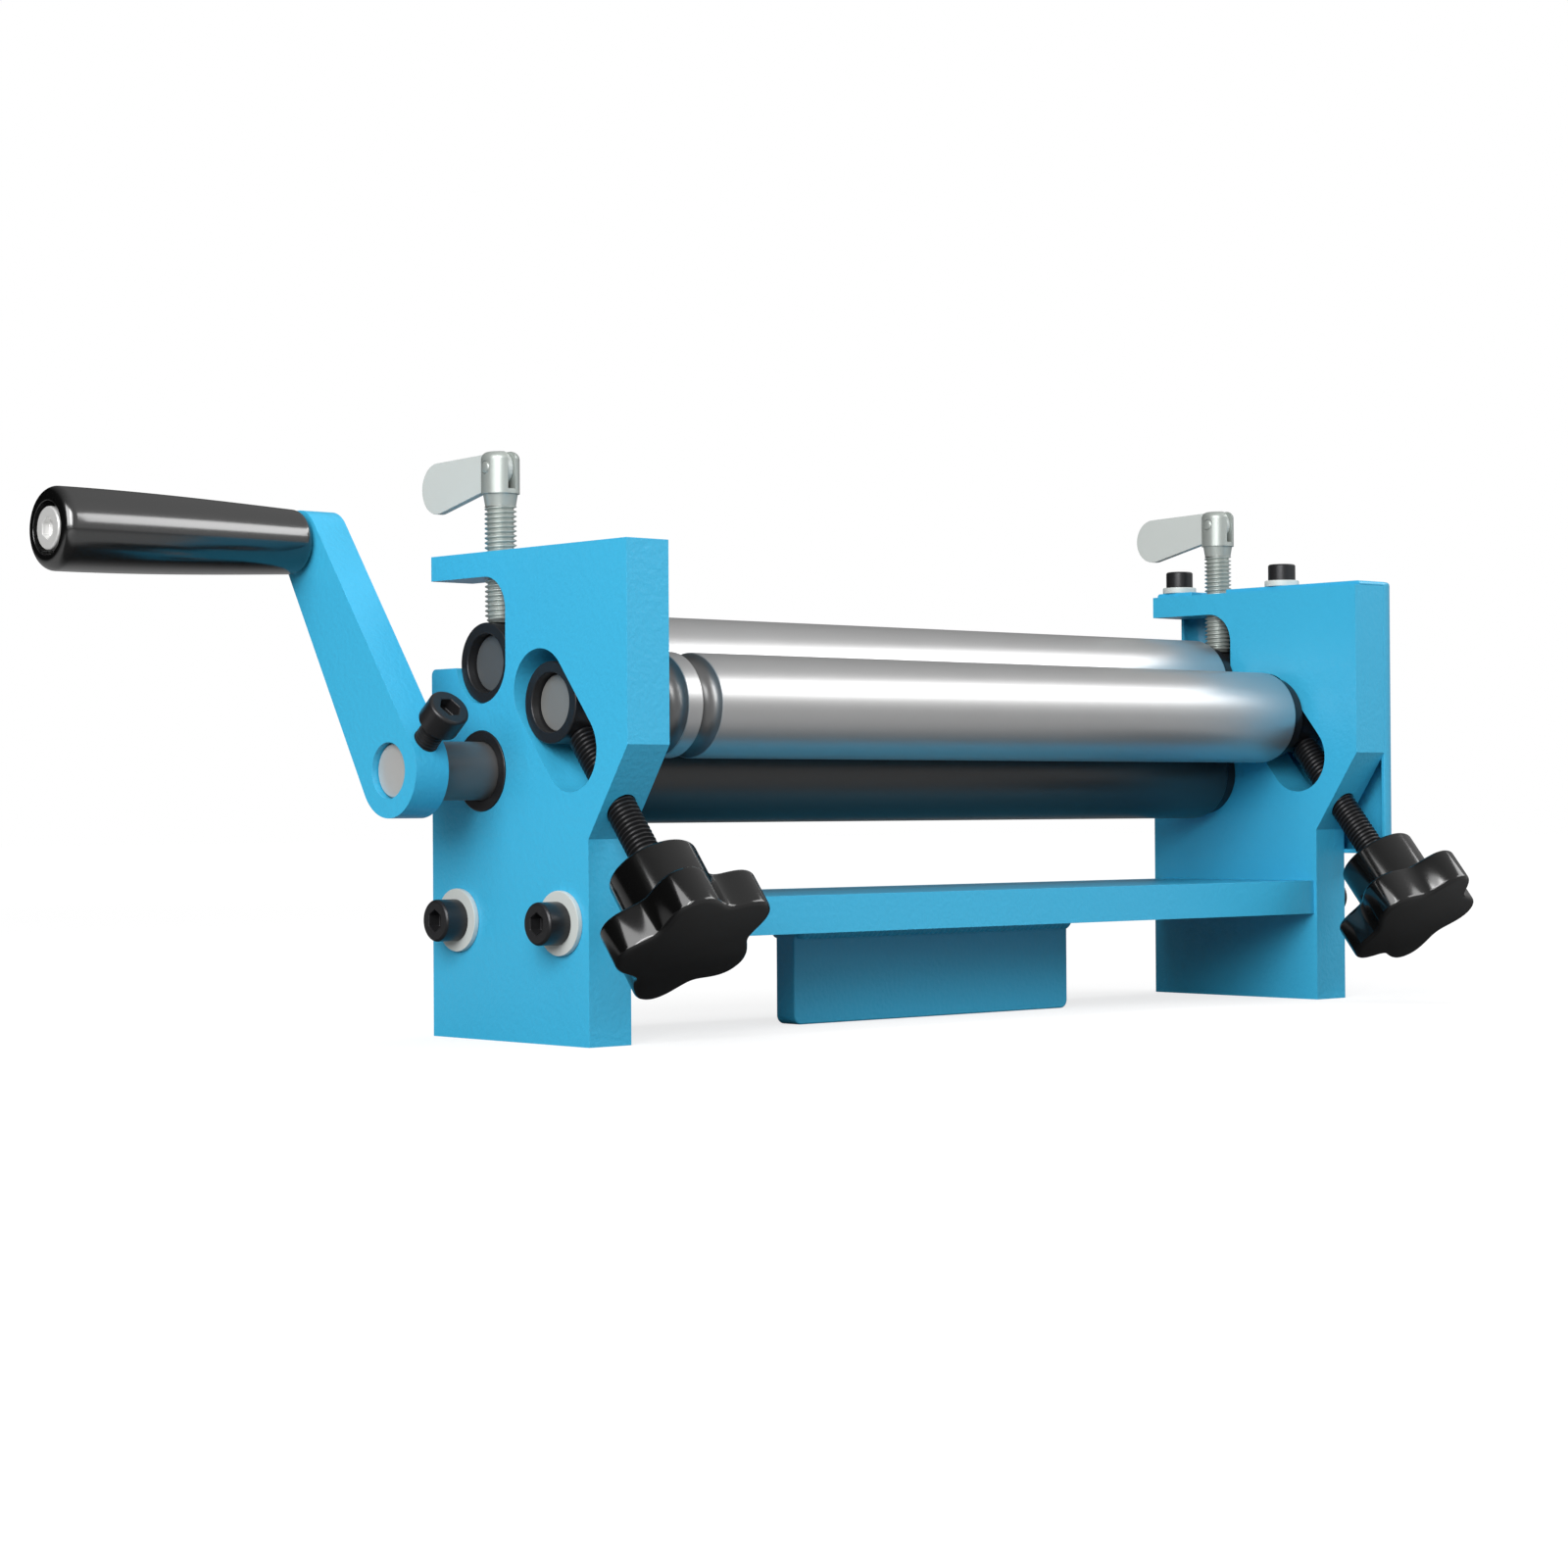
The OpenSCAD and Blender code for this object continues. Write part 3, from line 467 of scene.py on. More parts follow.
class Workshop:
    """Makes pieces: turns finished meshes into objects that ride on the frame's bodies."""

    def __init__(self) -> None:
        """Build every finish once."""
        groups = {marks.name: marks.build() for marks in (PEEL, TURNING)}
        self.materials = {finish.name: finish.build(groups) for finish in FINISHES}
        self.count = 0

    def place(self, name: str, mesh: bmesh.types.BMesh, finish: Finish, body: str,
              nodes: Sequence[str] = (), sharp: float = SHARP_ANGLE,
              weighted: bool = False) -> None:
        """Turn a mesh into a finished piece.

        Args:
            name: The piece's name.
            mesh: The shape in the frame of the solids; it is freed.
            finish: What it is made of.
            body: The body that it rides on.
            nodes: Solids that it stands for.
            sharp: Angle above which an edge stays sharp in the shading.
            weighted: Whether flat faces keep flat shading beside their bevels.
        """
        data = bpy.data.meshes.new(name)
        mesh.to_mesh(data)
        mesh.free()
        data.polygons.foreach_set("use_smooth", [True] * len(data.polygons))
        data.set_sharp_from_angle(angle=sharp)
        data.materials.append(self.materials[finish.name])
        piece = bpy.data.objects.new(name, data)
        bpy.context.scene.collection.objects.link(piece)
        if weighted:
            modifier = piece.modifiers.new("flat faces", "WEIGHTED_NORMAL")
            modifier.keep_sharp = True
        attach(piece, body)
        if nodes:
            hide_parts(*nodes)
        self.count += 1
        LOG.info("%s: %d faces", name, len(data.polygons))

    def soften(self, node: str, suffix: str, finish: Finish, body: str, edge: float,
               segments: int = 2) -> None:
        """Make a piece from a solid with its sharp edges rounded.

        Args:
            node: The solid's name, with which the piece's name starts.
            suffix: The rest of the piece's name.
            finish: What it is made of.
            body: The body that it rides on.
            edge: Width of the rounding.
            segments: Faces across the rounding.
        """
        mesh = Shape.bevel(Shape.from_node(node), edge, segments)
        self.place(f"{node}_{suffix}", mesh, finish, body, [node], weighted=True)

    def dress(self, node: str, finish: Finish) -> None:
        """Give a solid that stays its finish.

        Args:
            node: The solid's name.
            finish: What it is made of.
        """
        solid = frame["nodes"][node]
        for entry in solid.material_slots:
            entry.material = self.materials[finish.name]
        LOG.info("%s: kept, in %s", node, finish.name)


@dataclass(frozen=True)
class Thread:
    """Sizes of a metric thread, with its flanks as shares of the pitch."""

    radius: float
    pitch: float
    depth_share: float = 0.6
    foot_share: float = 0.92
    rise: Pair = (0.16, 0.44)
    fall: Pair = (0.62, 0.90)

    @property
    def root(self) -> float:
        """Radius at the bottom of the thread."""
        return self.radius - self.depth_share * self.pitch


M10 = Thread(4.95 * MM, 1.5 * MM)
M8 = Thread(3.95 * MM, 1.25 * MM)


class Shape:
    """Ways to make meshes and to change them."""

    @staticmethod
    def from_node(node: str) -> bmesh.types.BMesh:
        """Copy a solid's mesh with its triangles joined into flat faces.

        Args:
            node: The solid's name.

        Returns:
            The cleaned copy.
        """
        mesh = bmesh.new()
        mesh.from_mesh(frame["nodes"][node].data)
        bmesh.ops.remove_doubles(mesh, verts=mesh.verts[:], dist=MERGE_DISTANCE)
        bmesh.ops.dissolve_limit(mesh, angle_limit=FLAT_ANGLE, use_dissolve_boundaries=False,
                                 verts=mesh.verts[:], edges=mesh.edges[:], delimit=set())
        return mesh

    @staticmethod
    def bevel(mesh: bmesh.types.BMesh, width: float, segments: int = 2,
              keep: Callable[[bmesh.types.BMEdge], bool] | None = None) -> bmesh.types.BMesh:
        """Round the sharp edges.

        Args:
            mesh: The mesh, which is changed.
            width: Width of the rounding.
            segments: Faces across the rounding.
            keep: Says which sharp edges are rounded, or None for all.

        Returns:
            The same mesh.
        """
        edges = [e for e in mesh.edges
                 if len(e.link_faces) == 2 and e.calc_face_angle(0.0) > BEVEL_ANGLE
                 and (keep is None or keep(e))]
        bmesh.ops.bevel(mesh, geom=edges, offset=width, offset_type="OFFSET", segments=segments,
                        profile=0.5, affect="EDGES", clamp_overlap=True, material=-1)
        return mesh

    @staticmethod
    def spun(outline: Sequence[Pair], place: Matrix,
             steps: int = ROUND_STEPS) -> bmesh.types.BMesh:
        """Turn an outline of radius and height round an axis.

        Args:
            outline: Radius and height of each point, from axis to axis or back to the first.
            place: Where the axis goes: its +Z runs along the heights.
            steps: Faces round the axis.

        Returns:
            The closed shape.
        """
        mesh = bmesh.new()
        verts = [mesh.verts.new((r, 0.0, z)) for r, z in outline]
        edges = [mesh.edges.new(pair) for pair in zip(verts, verts[1:])]
        bmesh.ops.spin(mesh, geom=verts + edges, cent=(0, 0, 0), axis=(0, 0, 1), dvec=(0, 0, 0),
                       angle=math.tau, steps=steps, use_merge=True)
        return Shape.close(mesh, place)

    @staticmethod
    def close(mesh: bmesh.types.BMesh, place: Matrix) -> bmesh.types.BMesh:
        """Merge a shape's seams, face it outwards and move it into place.

        Args:
            mesh: The mesh, which is changed.
            place: Where it goes.

        Returns:
            The same mesh.
        """
        bmesh.ops.remove_doubles(mesh, verts=mesh.verts[:], dist=MERGE_DISTANCE)
        bmesh.ops.recalc_face_normals(mesh, faces=mesh.faces[:])
        bmesh.ops.transform(mesh, matrix=place, verts=mesh.verts[:])
        return mesh

    @staticmethod
    def cut(mesh: bmesh.types.BMesh, point: Vector, normal: Vector) -> bmesh.types.BMesh:
        """Cut away what lies beyond a plane and close the cut.

        Args:
            mesh: The mesh, which is changed.
            point: A point on the plane.
            normal: Points to the side that goes.

        Returns:
            The same mesh.
        """
        cut = bmesh.ops.bisect_plane(mesh, geom=mesh.verts[:] + mesh.edges[:] + mesh.faces[:],
                                     dist=CUT_DISTANCE, plane_co=point, plane_no=normal,
                                     clear_outer=True)["geom_cut"]
        rim = [e for e in cut if isinstance(e, bmesh.types.BMEdge) and e.is_boundary]
        bmesh.ops.holes_fill(mesh, edges=rim, sides=0)
        return mesh

    @staticmethod
    def join(first: bmesh.types.BMesh, second: bmesh.types.BMesh) -> bmesh.types.BMesh:
        """Put a second mesh into the first.

        Args:
            first: The mesh that is kept.
            second: The mesh whose faces are added; it is freed.

        Returns:
            The first mesh.
        """
        carrier = bpy.data.meshes.new("carrier")
        second.to_mesh(carrier)
        second.free()
        first.from_mesh(carrier)
        bpy.data.meshes.remove(carrier)
        return first

    @staticmethod
    def bead(start: Vector, length: float, radius: float, ripple: float,
             depth: float) -> bmesh.types.BMesh:
        """Make a weld bead along +X with the ripples of a hand weld.

        Args:
            start: Centre of the bead's left end.
            length: Length of the bead.
            radius: Radius of its crest.
            ripple: Distance from one ripple to the next.
            depth: Depth between the ripples.

        Returns:
            The closed bead with rounded ends.
        """
        mesh = bmesh.new()
        bmesh.ops.create_grid(mesh, x_segments=int(length / ripple) * RIPPLE_ROWS,
                              y_segments=BEAD_STEPS, size=0.5)
        for vert in mesh.verts:
            along = (vert.co.x + 0.5) * length
            turn = (vert.co.y + 0.5) * math.tau
            wave = abs(math.sin(math.pi * (along / ripple + RIPPLE_LEAN * math.cos(turn))))
            taper = min(1.0, min(along, length - along) / radius)
            size = (radius - depth * (1.0 - wave)) * math.sqrt(taper * (2.0 - taper))
            vert.co = (along, size * math.cos(turn), size * math.sin(turn))
        return Shape.close(mesh, Matrix.Translation(start))

    @staticmethod
    def thread(rod: Thread, length: float, place: Matrix) -> bmesh.types.BMesh:
        """Make a threaded rod with a chamfered foot.

        Args:
            rod: The thread's sizes.
            length: Length of the rod.
            place: Where it goes: the foot is at its origin and it runs along +Z.

        Returns:
            The closed rod.
        """
        pitch, crest, root = rod.pitch, rod.radius, rod.root
        mesh = bmesh.new()
        profile = [(root, 0.0), (root, rod.rise[0]), (crest, rod.rise[1]), (crest, rod.fall[0]),
                   (root, rod.fall[1]), (root, 1.0)]
        verts = [mesh.verts.new((r, 0.0, (share - 1.0) * pitch)) for r, share in profile]
        edges = [mesh.edges.new(pair) for pair in zip(verts, verts[1:])]
        bmesh.ops.spin(mesh, geom=verts + edges, cent=(0, 0, 0), axis=(0, 0, 1),
                       dvec=(0, 0, pitch / THREAD_STEPS), angle=math.tau, steps=THREAD_STEPS,
                       use_merge=False)
        turn = mesh.verts[:] + mesh.edges[:] + mesh.faces[:]
        for count in range(1, math.ceil(length / pitch) + 2):
            copied = bmesh.ops.duplicate(mesh, geom=turn)["geom"]
            bmesh.ops.translate(mesh, vec=(0, 0, count * pitch),
                                verts=[v for v in copied if isinstance(v, bmesh.types.BMVert)])
        bmesh.ops.remove_doubles(mesh, verts=mesh.verts[:], dist=MERGE_DISTANCE)
        Shape.cut(mesh, Vector((0, 0, 0)), Vector((0, 0, -1)))
        Shape.cut(mesh, Vector((0, 0, length)), Vector((0, 0, 1)))
        for vert in mesh.verts:
            radius = math.hypot(vert.co.x, vert.co.y)
            limit = root * rod.foot_share + vert.co.z
            if radius > limit > 0:
                vert.co.x *= limit / radius
                vert.co.y *= limit / radius
        return Shape.close(mesh, place)


def arc(radius: float, height: float, round_r: float, start: float, end: float,
        steps: int = ARC_STEPS) -> list[Pair]:
    """Give points on an arc in an outline of radius and height.

    Args:
        radius: Radius of the arc's centre from the axis.
        height: Height of the arc's centre.
        round_r: The arc's own radius.
        start: First angle in degrees from the outward direction.
        end: Last angle in degrees.
        steps: Number of steps.

    Returns:
        The points in order.
    """
    angles = [math.radians(start + (end - start) * k / steps) for k in range(steps + 1)]
    return [(radius + round_r * math.cos(a), height + round_r * math.sin(a)) for a in angles]


def along_x(x: float, y: float, z: float) -> Matrix:
    """Give a place whose +Z runs along +X from a point."""
    return Matrix.Translation((x, y, z)) @ Matrix.Rotation(math.pi / 2, 4, "Y")


def facing(place: Vector, axis: Vector) -> Matrix:
    """Give a place at a point, with its +Z along an axis."""
    return Matrix.Translation(place) @ axis.to_track_quat("Z", "Y").to_matrix().to_4x4()


@dataclass
class Frame:
    """End plates, base, vise tab and their screws."""

    shop: Workshop
    plate_edge: float = 0.8 * MM
    bar_edge: float = 0.6 * MM
    tab_t: float = 9 * MM
    tab_l: float = 129 * MM
    bead_r: float = 2.5 * MM
    bead_inset: float = 1.0 * MM
    ripple: float = 2.2 * MM
    ripple_depth: float = 0.35 * MM
    head_edge: float = 0.35 * MM

    def build(self) -> None:
        """Make the frame's pieces."""
        for node, edge in (("left_end_plate", self.plate_edge),
                           ("right_end_plate", self.plate_edge),
                           ("base_plate", self.bar_edge), ("vise_tab", self.bar_edge)):
            self.shop.soften(node, "painted", PAINT, Body.FRAME.value, edge, 3)
        self.build_welds()
        self.shop.soften("base_screws", "black", BLACK, Body.FRAME.value, self.head_edge)
        self.shop.soften("base_washers", "zinc", ZINC, Body.FRAME.value, self.head_edge)

    def build_welds(self) -> None:
        """Lay a weld bead along both sides of the tab, under the base plate."""
        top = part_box("base_plate")[0].z
        for name, side in (("front", -1), ("back", 1)):
            start = Vector((-self.tab_l / 2, side * (self.tab_t / 2 + self.bead_inset),
                            top - self.bead_inset))
            bead = Shape.bead(start, self.tab_l, self.bead_r, self.ripple, self.ripple_depth)
            Shape.cut(bead, Vector((0, 0, top)), Vector((0, 0, 1)))
            self.shop.place(f"weld_bead_{name}", bead, PAINT, Body.FRAME.value)


@dataclass
class GearCover:
    """Bent sheet over the gears, its screws and the gear train inside."""

    shop: Workshop
    edge: float = 0.35 * MM
    bend_edge: float = 1.2 * MM
    bend_r: float = 8.7 * MM
    head_edge: float = 0.3 * MM

    def build(self) -> None:
        """Make the cover's pieces and dress the gears."""
        low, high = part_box("gear_cover")
        cover = Shape.bevel(Shape.from_node("gear_cover"), self.bend_edge, 4,
                            lambda edge: self.on_rim(edge, low, high))
        Shape.bevel(cover, self.edge)
        self.shop.place("gear_cover_painted", cover, PAINT, Body.FRAME.value, ["gear_cover"],
                        weighted=True)
        self.shop.soften("cover_screws", "black", BLACK, Body.FRAME.value, self.head_edge)
        self.shop.soften("cover_washers", "zinc", ZINC, Body.FRAME.value, self.head_edge)
        for row in ("lower", "upper"):
            self.shop.dress(f"{row}_gear", BLACK)
            self.shop.dress(f"{row}_gear_key", SHAFT_END)
            self.shop.dress(f"{row}_gear_clip", SHAFT_END)

    def on_rim(self, edge: bmesh.types.BMEdge, low: Vector, high: Vector) -> bool:
        """Say whether an edge runs round the outside of the cover's top.

        Args:
            edge: The edge.
            low: Lower corner of the cover's box.
            high: Upper corner of the cover's box.

        Returns:
            Whether it does.
        """
        (x1, y1, z1), (x2, y2, z2) = (vert.co for vert in edge.verts)
        return min(z1, z2) > high.z - MERGE_DISTANCE and (
            max(y1, y2) < low.y + MERGE_DISTANCE or min(y1, y2) > high.y - MERGE_DISTANCE
            or min(x1, x2) > high.x - self.bend_r)


@dataclass(frozen=True)
class RollShape:
    """Ends, grooves and place of one roll, with lengths measured from the machine's middle."""

    node: str
    joint: str
    body: Body
    finish: GroundSteel
    left: tuple[Pair, ...]
    right: tuple[Pair, ...]
    grooves: tuple[float, ...] = ()


@dataclass
class Rolls:
    """The three rolls and their six bushes."""

    shop: Workshop
    radius: float = 16.5 * MM
    end_x: float = BARREL_END
    edge_r: float = 1.6 * MM
    journal_r: float = 9.0 * MM
    chamfer: float = 0.6 * MM
    groove_r: float = 4.0 * MM
    groove_depth: float = 3.2 * MM
    groove_start: float = 17.1 * MM
    groove_step: float = 13.7 * MM
    groove_edge: float = 0.25 * MM
    plain_end: float = PLAIN_END
    gear_end: float = 184.0 * MM
    seat_end: float = 199.2 * MM
    crank_r: float = 8.5 * MM
    crank_end: float = CRANK_END
    bush_edge: float = 0.45 * MM

    def build(self) -> None:
        """Make the rolls and bushes."""
        plain = ((self.journal_r, self.plain_end),)
        geared = ((self.journal_r, self.gear_end),)
        crank = ((self.journal_r, self.seat_end), (self.crank_r, self.crank_end))
        first = self.groove_start - self.end_x
        grooves = (first, first + self.groove_step)
        for roll in (
            RollShape("lower_roll", "crank_turn", Body.LOWER, LOWER_ROLL, crank, geared),
            RollShape("upper_roll", "upper_turn", Body.UPPER, UPPER_ROLL, plain, geared),
            RollShape("bend_roll", "bend_turn", Body.BEND, BEND_ROLL, plain, plain, grooves),
        ):
            self.build_roll(roll)
        for side in SIDES:
            for row, body in (("lower", Body.FRAME), ("upper", Body.UPPER_CARRIAGE),
                              ("bend", Body.BEND_CARRIAGE)):
                self.shop.soften(f"{row}_bush_{side}", "black", BLACK, body.value,
                                 self.bush_edge, 3)

    def build_roll(self, roll: RollShape) -> None:
        """Turn one roll with its journals.

        Args:
            roll: What the roll looks like and where it sits.
        """
        place = joint_place(roll.joint)
        outline = [*self.journal(roll.left, -1), *self.barrel(roll.grooves),
                   *reversed(self.journal(roll.right, 1))]
        mesh = Shape.spun(outline, along_x(0.0, place.y, place.z))
        self.shop.place(f"{roll.node}_turned", mesh, roll.finish, roll.body.value, [roll.node],
                        sharp=ROLL_SHARP)

    def journal(self, steps: Sequence[Pair], side: int) -> list[Pair]:
        """Outline a stepped journal from its tip to the barrel.

        Args:
            steps: Radius and outer end of each step, from the barrel outwards.
            side: -1 for the left end and 1 for the right one.

        Returns:
            Points as radius and X.
        """
        tip_r, tip_x = steps[-1]
        points = [(0.0, side * tip_x), (tip_r - self.chamfer, side * tip_x),
                  (tip_r, side * (tip_x - self.chamfer))]
        for radius, end in reversed(steps[:-1]):
            points += [(tip_r, side * end), (radius - self.chamfer / 2, side * end),
                       (radius, side * (end - self.chamfer / 2))]
        points.append((steps[0][0], side * self.end_x))
        return points

    def barrel(self, grooves: Sequence[float]) -> list[Pair]:
        """Outline the barrel with rounded edges and wire grooves.

        Args:
            grooves: X of each groove.

        Returns:
            Points as radius and X, from left to right.
        """
        inner = self.radius - self.edge_r
        points = arc(inner, -self.end_x + self.edge_r, self.edge_r, -90, 0)
        centre = self.radius - self.groove_depth + self.groove_r
        half = math.degrees(math.acos((centre - self.radius) / self.groove_r))
        for x in grooves:
            curve = arc(centre, x, self.groove_r, 180 + half, 180 - half, GROOVE_STEPS)
            lip = self.groove_edge
            points.append((self.radius, curve[0][1] - lip))
            points.append((self.radius - lip / 2, curve[0][1] - lip / 4))
            points += curve[1:-1]
            points.append((self.radius - lip / 2, curve[-1][1] + lip / 4))
            points.append((self.radius, curve[-1][1] + lip))
        points += arc(inner, self.end_x - self.edge_r, self.edge_r, 0, 90)
        return points


@dataclass
class Crank:
    """Crank arm, its set screw, the grip and the grip's bolt."""

    shop: Workshop
    arm_edge: float = 0.8 * MM
    head_edge: float = 0.35 * MM
    set_angle: float = math.radians(51.5)
    set_head_h: float = 8 * MM
    shank_foot: float = 7.4 * MM
    grip_l: float = 87.7 * MM
    inner_r: float = 10.1 * MM
    outer_r: float = 12.58 * MM
    end_round: float = 3.3 * MM
    recess_r: float = 8.1 * MM
    recess_l: float = 5.3 * MM
    recess_round: float = 0.2 * MM
    bore_r: float = 4.05 * MM
    grip_steps: int = 24
    round_steps: int = 10

    def build(self) -> None:
        """Make the crank's pieces."""
        self.shop.soften("crank_arm", "painted", PAINT, Body.LOWER.value, self.arm_edge, 3)
        self.build_set_screw()
        self.shop.soften("handle_bolt", "bright", BRIGHT_ZINC, Body.LOWER.value, self.head_edge)
        self.build_grip()

    def build_set_screw(self) -> None:
        """Make the set screw: its head from the solid, on a threaded shank."""
        low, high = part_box("crank_arm")
        place = joint_place("crank_turn")
        point = Vector(((low.x + high.x) / 2, place.y, place.z))
        axis = Vector((0.0, -math.sin(self.set_angle), math.cos(self.set_angle)))
        foot = reach("crank_set_screw", point, axis)[1] - self.set_head_h
        head = Shape.cut(Shape.from_node("crank_set_screw"), point + axis * foot, -axis)
        Shape.bevel(head, self.head_edge)
        shank = Shape.thread(M8, foot - self.shank_foot,
                             facing(point + axis * self.shank_foot, axis))
        self.shop.place("crank_set_screw_black", Shape.join(head, shank), BLACK,
                        Body.LOWER.value, ["crank_set_screw"], weighted=True)

    def build_grip(self) -> None:
        """Turn the grip, with a rounded end and a recess for the bolt's head."""
        place = joint_place("grip_spin")
        outer_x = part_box("handle_grip")[0].x
        tip = self.outer_r - self.end_round
        straight = self.grip_l - 2 * self.end_round
        shares = [k / self.grip_steps for k in range(1, self.grip_steps)]
        side = [(self.grip_radius(1 - s), self.end_round + straight * s) for s in shares]
        outline = [
            (self.bore_r, self.grip_l), (self.bore_r, self.recess_l),
            (self.recess_r, self.recess_l),
            *arc(self.recess_r + self.recess_round, self.recess_round, self.recess_round,
                 180, 270),
            *arc(tip, self.end_round, self.end_round, -90, 0, self.round_steps), *side,
            *arc(self.inner_r - self.end_round, self.grip_l - self.end_round, self.end_round,
                 0, 90, self.round_steps),
        ]
        mesh = Shape.spun([*outline, outline[0]], along_x(outer_x, place.y, place.z))
        self.shop.place("handle_grip_polished", mesh, GRIP_GLOSS, Body.GRIP.value,
                        ["handle_grip"])

    def grip_radius(self, share: float) -> float:
        """Give the grip's radius at a share of its length, from the crank outwards."""
        return self.inner_r + (self.outer_r - self.inner_r) * math.sin(math.pi / 2 * share)


@dataclass
class WingScrews:
    """The two wing screws with their folding paddles."""

    shop: Workshop
    edge: float = 0.45 * MM
    paddle_edge: float = 0.55 * MM
    neck_stand: float = 14.3 * MM
    overlap: float = 0.3 * MM
    pin_r: float = 2.0 * MM
    pin_half: float = 6.35 * MM
    pin_dome: float = 0.8 * MM

    def build(self) -> None:
        """Make both wing screws."""
        for side in SIDES:
            self.build_screw(side)
            self.build_pin(side)
            self.shop.soften(f"wing_paddle_{side}", "zinc", ZINC, f"paddle_{side}",
                             self.paddle_edge, 3)

    def build_screw(self, side: str) -> None:
        """Make one screw: the head and neck from the solid, on a threaded rod.

        Args:
            side: Which end of the machine.
        """
        node = f"wing_screw_{side}"
        place = joint_place(f"wing_{side}_turn")
        neck = place.z + self.neck_stand
        up = Vector((0, 0, 1))
        head = Shape.cut(Shape.from_node(node), Vector((0, 0, neck)), -up)
        Shape.bevel(head, self.edge, 3)
        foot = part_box(node)[0].z
        rod = Shape.thread(M10, neck - foot + self.overlap,
                           facing(Vector((place.x, place.y, foot)), up))
        self.shop.place(f"{node}_zinc", Shape.join(head, rod), ZINC_SCREW, f"wing_{side}",
                        [node], weighted=True)

    def build_pin(self, side: str) -> None:
        """Make the riveted pin with a dome at each end.

        Args:
            side: Which end of the machine.
        """
        place = joint_place(f"paddle_{side}_flip")
        half, radius, dome = self.pin_half, self.pin_r, self.pin_dome
        angles = [math.pi / 2 * k / DOME_STEPS for k in range(DOME_STEPS + 1)]
        outline = [(radius * math.sin(a), dome * (1 - math.cos(a)) - half) for a in angles]
        outline += [(r, -x) for r, x in reversed(outline)]
        mesh = Shape.spun(outline, along_x(*place), PIN_STEPS)
        self.shop.place(f"wing_pin_{side}_riveted", mesh, ZINC_SCREW, f"wing_{side}",
                        [f"wing_pin_{side}"])


@dataclass
class StarScrews:
    """The two star screws that push the bending roll, with their knobs."""

    shop: Workshop
    hub_r: float = 14.0 * MM
    hub_round: float = 1.2 * MM
    lobe_t: float = 13.3 * MM
    tip_r: float = 25.28 * MM
    valley_r: float = 19.2 * MM
    rim: float = 1.6 * MM
    rim_segments: int = 5
    lobes: int = 5
    lobe_share: float = 1.15
    outline_steps: int = 240
    bore_r: float = 5.05 * MM
    turns: Pair = (23.6, 56.8)

    def build(self) -> None:
        """Make both screws and knobs."""
        for side, turn in zip(SIDES, self.turns):
            joint = joint_named(f"star_{side}_turn")
            point, axis = Vector(joint["pos_m"]), Vector(joint["axis"]).normalized()
            low, high = reach(f"star_screw_{side}", point, axis)
            rod = Shape.thread(M10, high - low, facing(point + axis * high, -axis))
            self.shop.place(f"star_screw_{side}_threaded", rod, BLACK, f"star_{side}",
                            [f"star_screw_{side}"])
            self.build_knob(side, point, axis, math.radians(turn))

    def build_knob(self, side: str, point: Vector, axis: Vector, turn: float) -> None:
        """Make one knob: a star with rounded rims under a round hub.

        Args:
            side: Which end of the machine.
            point: A point on the screw's axis.
            axis: The screw's axis, towards the roll.
            turn: Angle of a lobe at rest.
        """
        node = f"star_knob_{side}"
        bottom, top = reach(node, point, axis)
        place = (Matrix.Translation(point) @ Matrix.Rotation(-math.atan2(axis.y, axis.z), 4, "X")
                 @ Matrix.Rotation(turn, 4, "Z"))
        star = bmesh.new()
        bmesh.ops.create_circle(star, cap_ends=True, segments=self.outline_steps, radius=1.0)
        for vert in star.verts:
            angle = math.atan2(vert.co.y, vert.co.x)
            wave = ((1 - math.cos(self.lobes * angle)) / 2) ** self.lobe_share
            size = self.tip_r - (self.tip_r - self.valley_r) * wave
            vert.co = (size * math.cos(angle), size * math.sin(angle), bottom)
        lifted = bmesh.ops.extrude_face_region(star, geom=star.faces[:])["geom"]
        for vert in (item for item in lifted if isinstance(item, bmesh.types.BMVert)):
            vert.co.z += self.lobe_t
        bmesh.ops.recalc_face_normals(star, faces=star.faces[:])
        Shape.bevel(star, self.rim, self.rim_segments)
        bmesh.ops.transform(star, matrix=place, verts=star.verts[:])
        foot = bottom + self.lobe_t / 2
        outline = [
            (self.bore_r, foot), (self.hub_r, foot),
            *arc(self.hub_r - self.hub_round, top - self.hub_round, self.hub_round, 0, 90),
            (self.bore_r, top),
        ]
        hub = Shape.spun([*outline, outline[0]], place)
        self.shop.place(f"{node}_polished", Shape.join(star, hub), GLOSS, f"star_{side}", [node],
                        sharp=KNOB_SHARP)


@dataclass(frozen=True)
class Softbox:
    """A soft rectangular lamp that looks at a point."""

    name: str
    place: Triple
    aim: Triple
    width: float
    height: float
    power: float
    mirrored: bool = True

    def hang(self) -> None:
        """Put the lamp into the scene with its width level."""
        light = bpy.data.lights.new(self.name, "AREA")
        light.shape = "RECTANGLE"
        light.size = self.width
        light.size_y = self.height
        light.energy = self.power
        lamp = bpy.data.objects.new(self.name, light)
        back = (Vector(self.place) - Vector(self.aim)).normalized()
        side = Vector((0, 0, 1)).cross(back).normalized()
        turn = Matrix((side, back.cross(side), back)).transposed().to_4x4()
        lamp.matrix_world = Matrix.Translation(self.place) @ turn
        lamp.visible_glossy = self.mirrored
        bpy.context.scene.collection.objects.link(lamp)


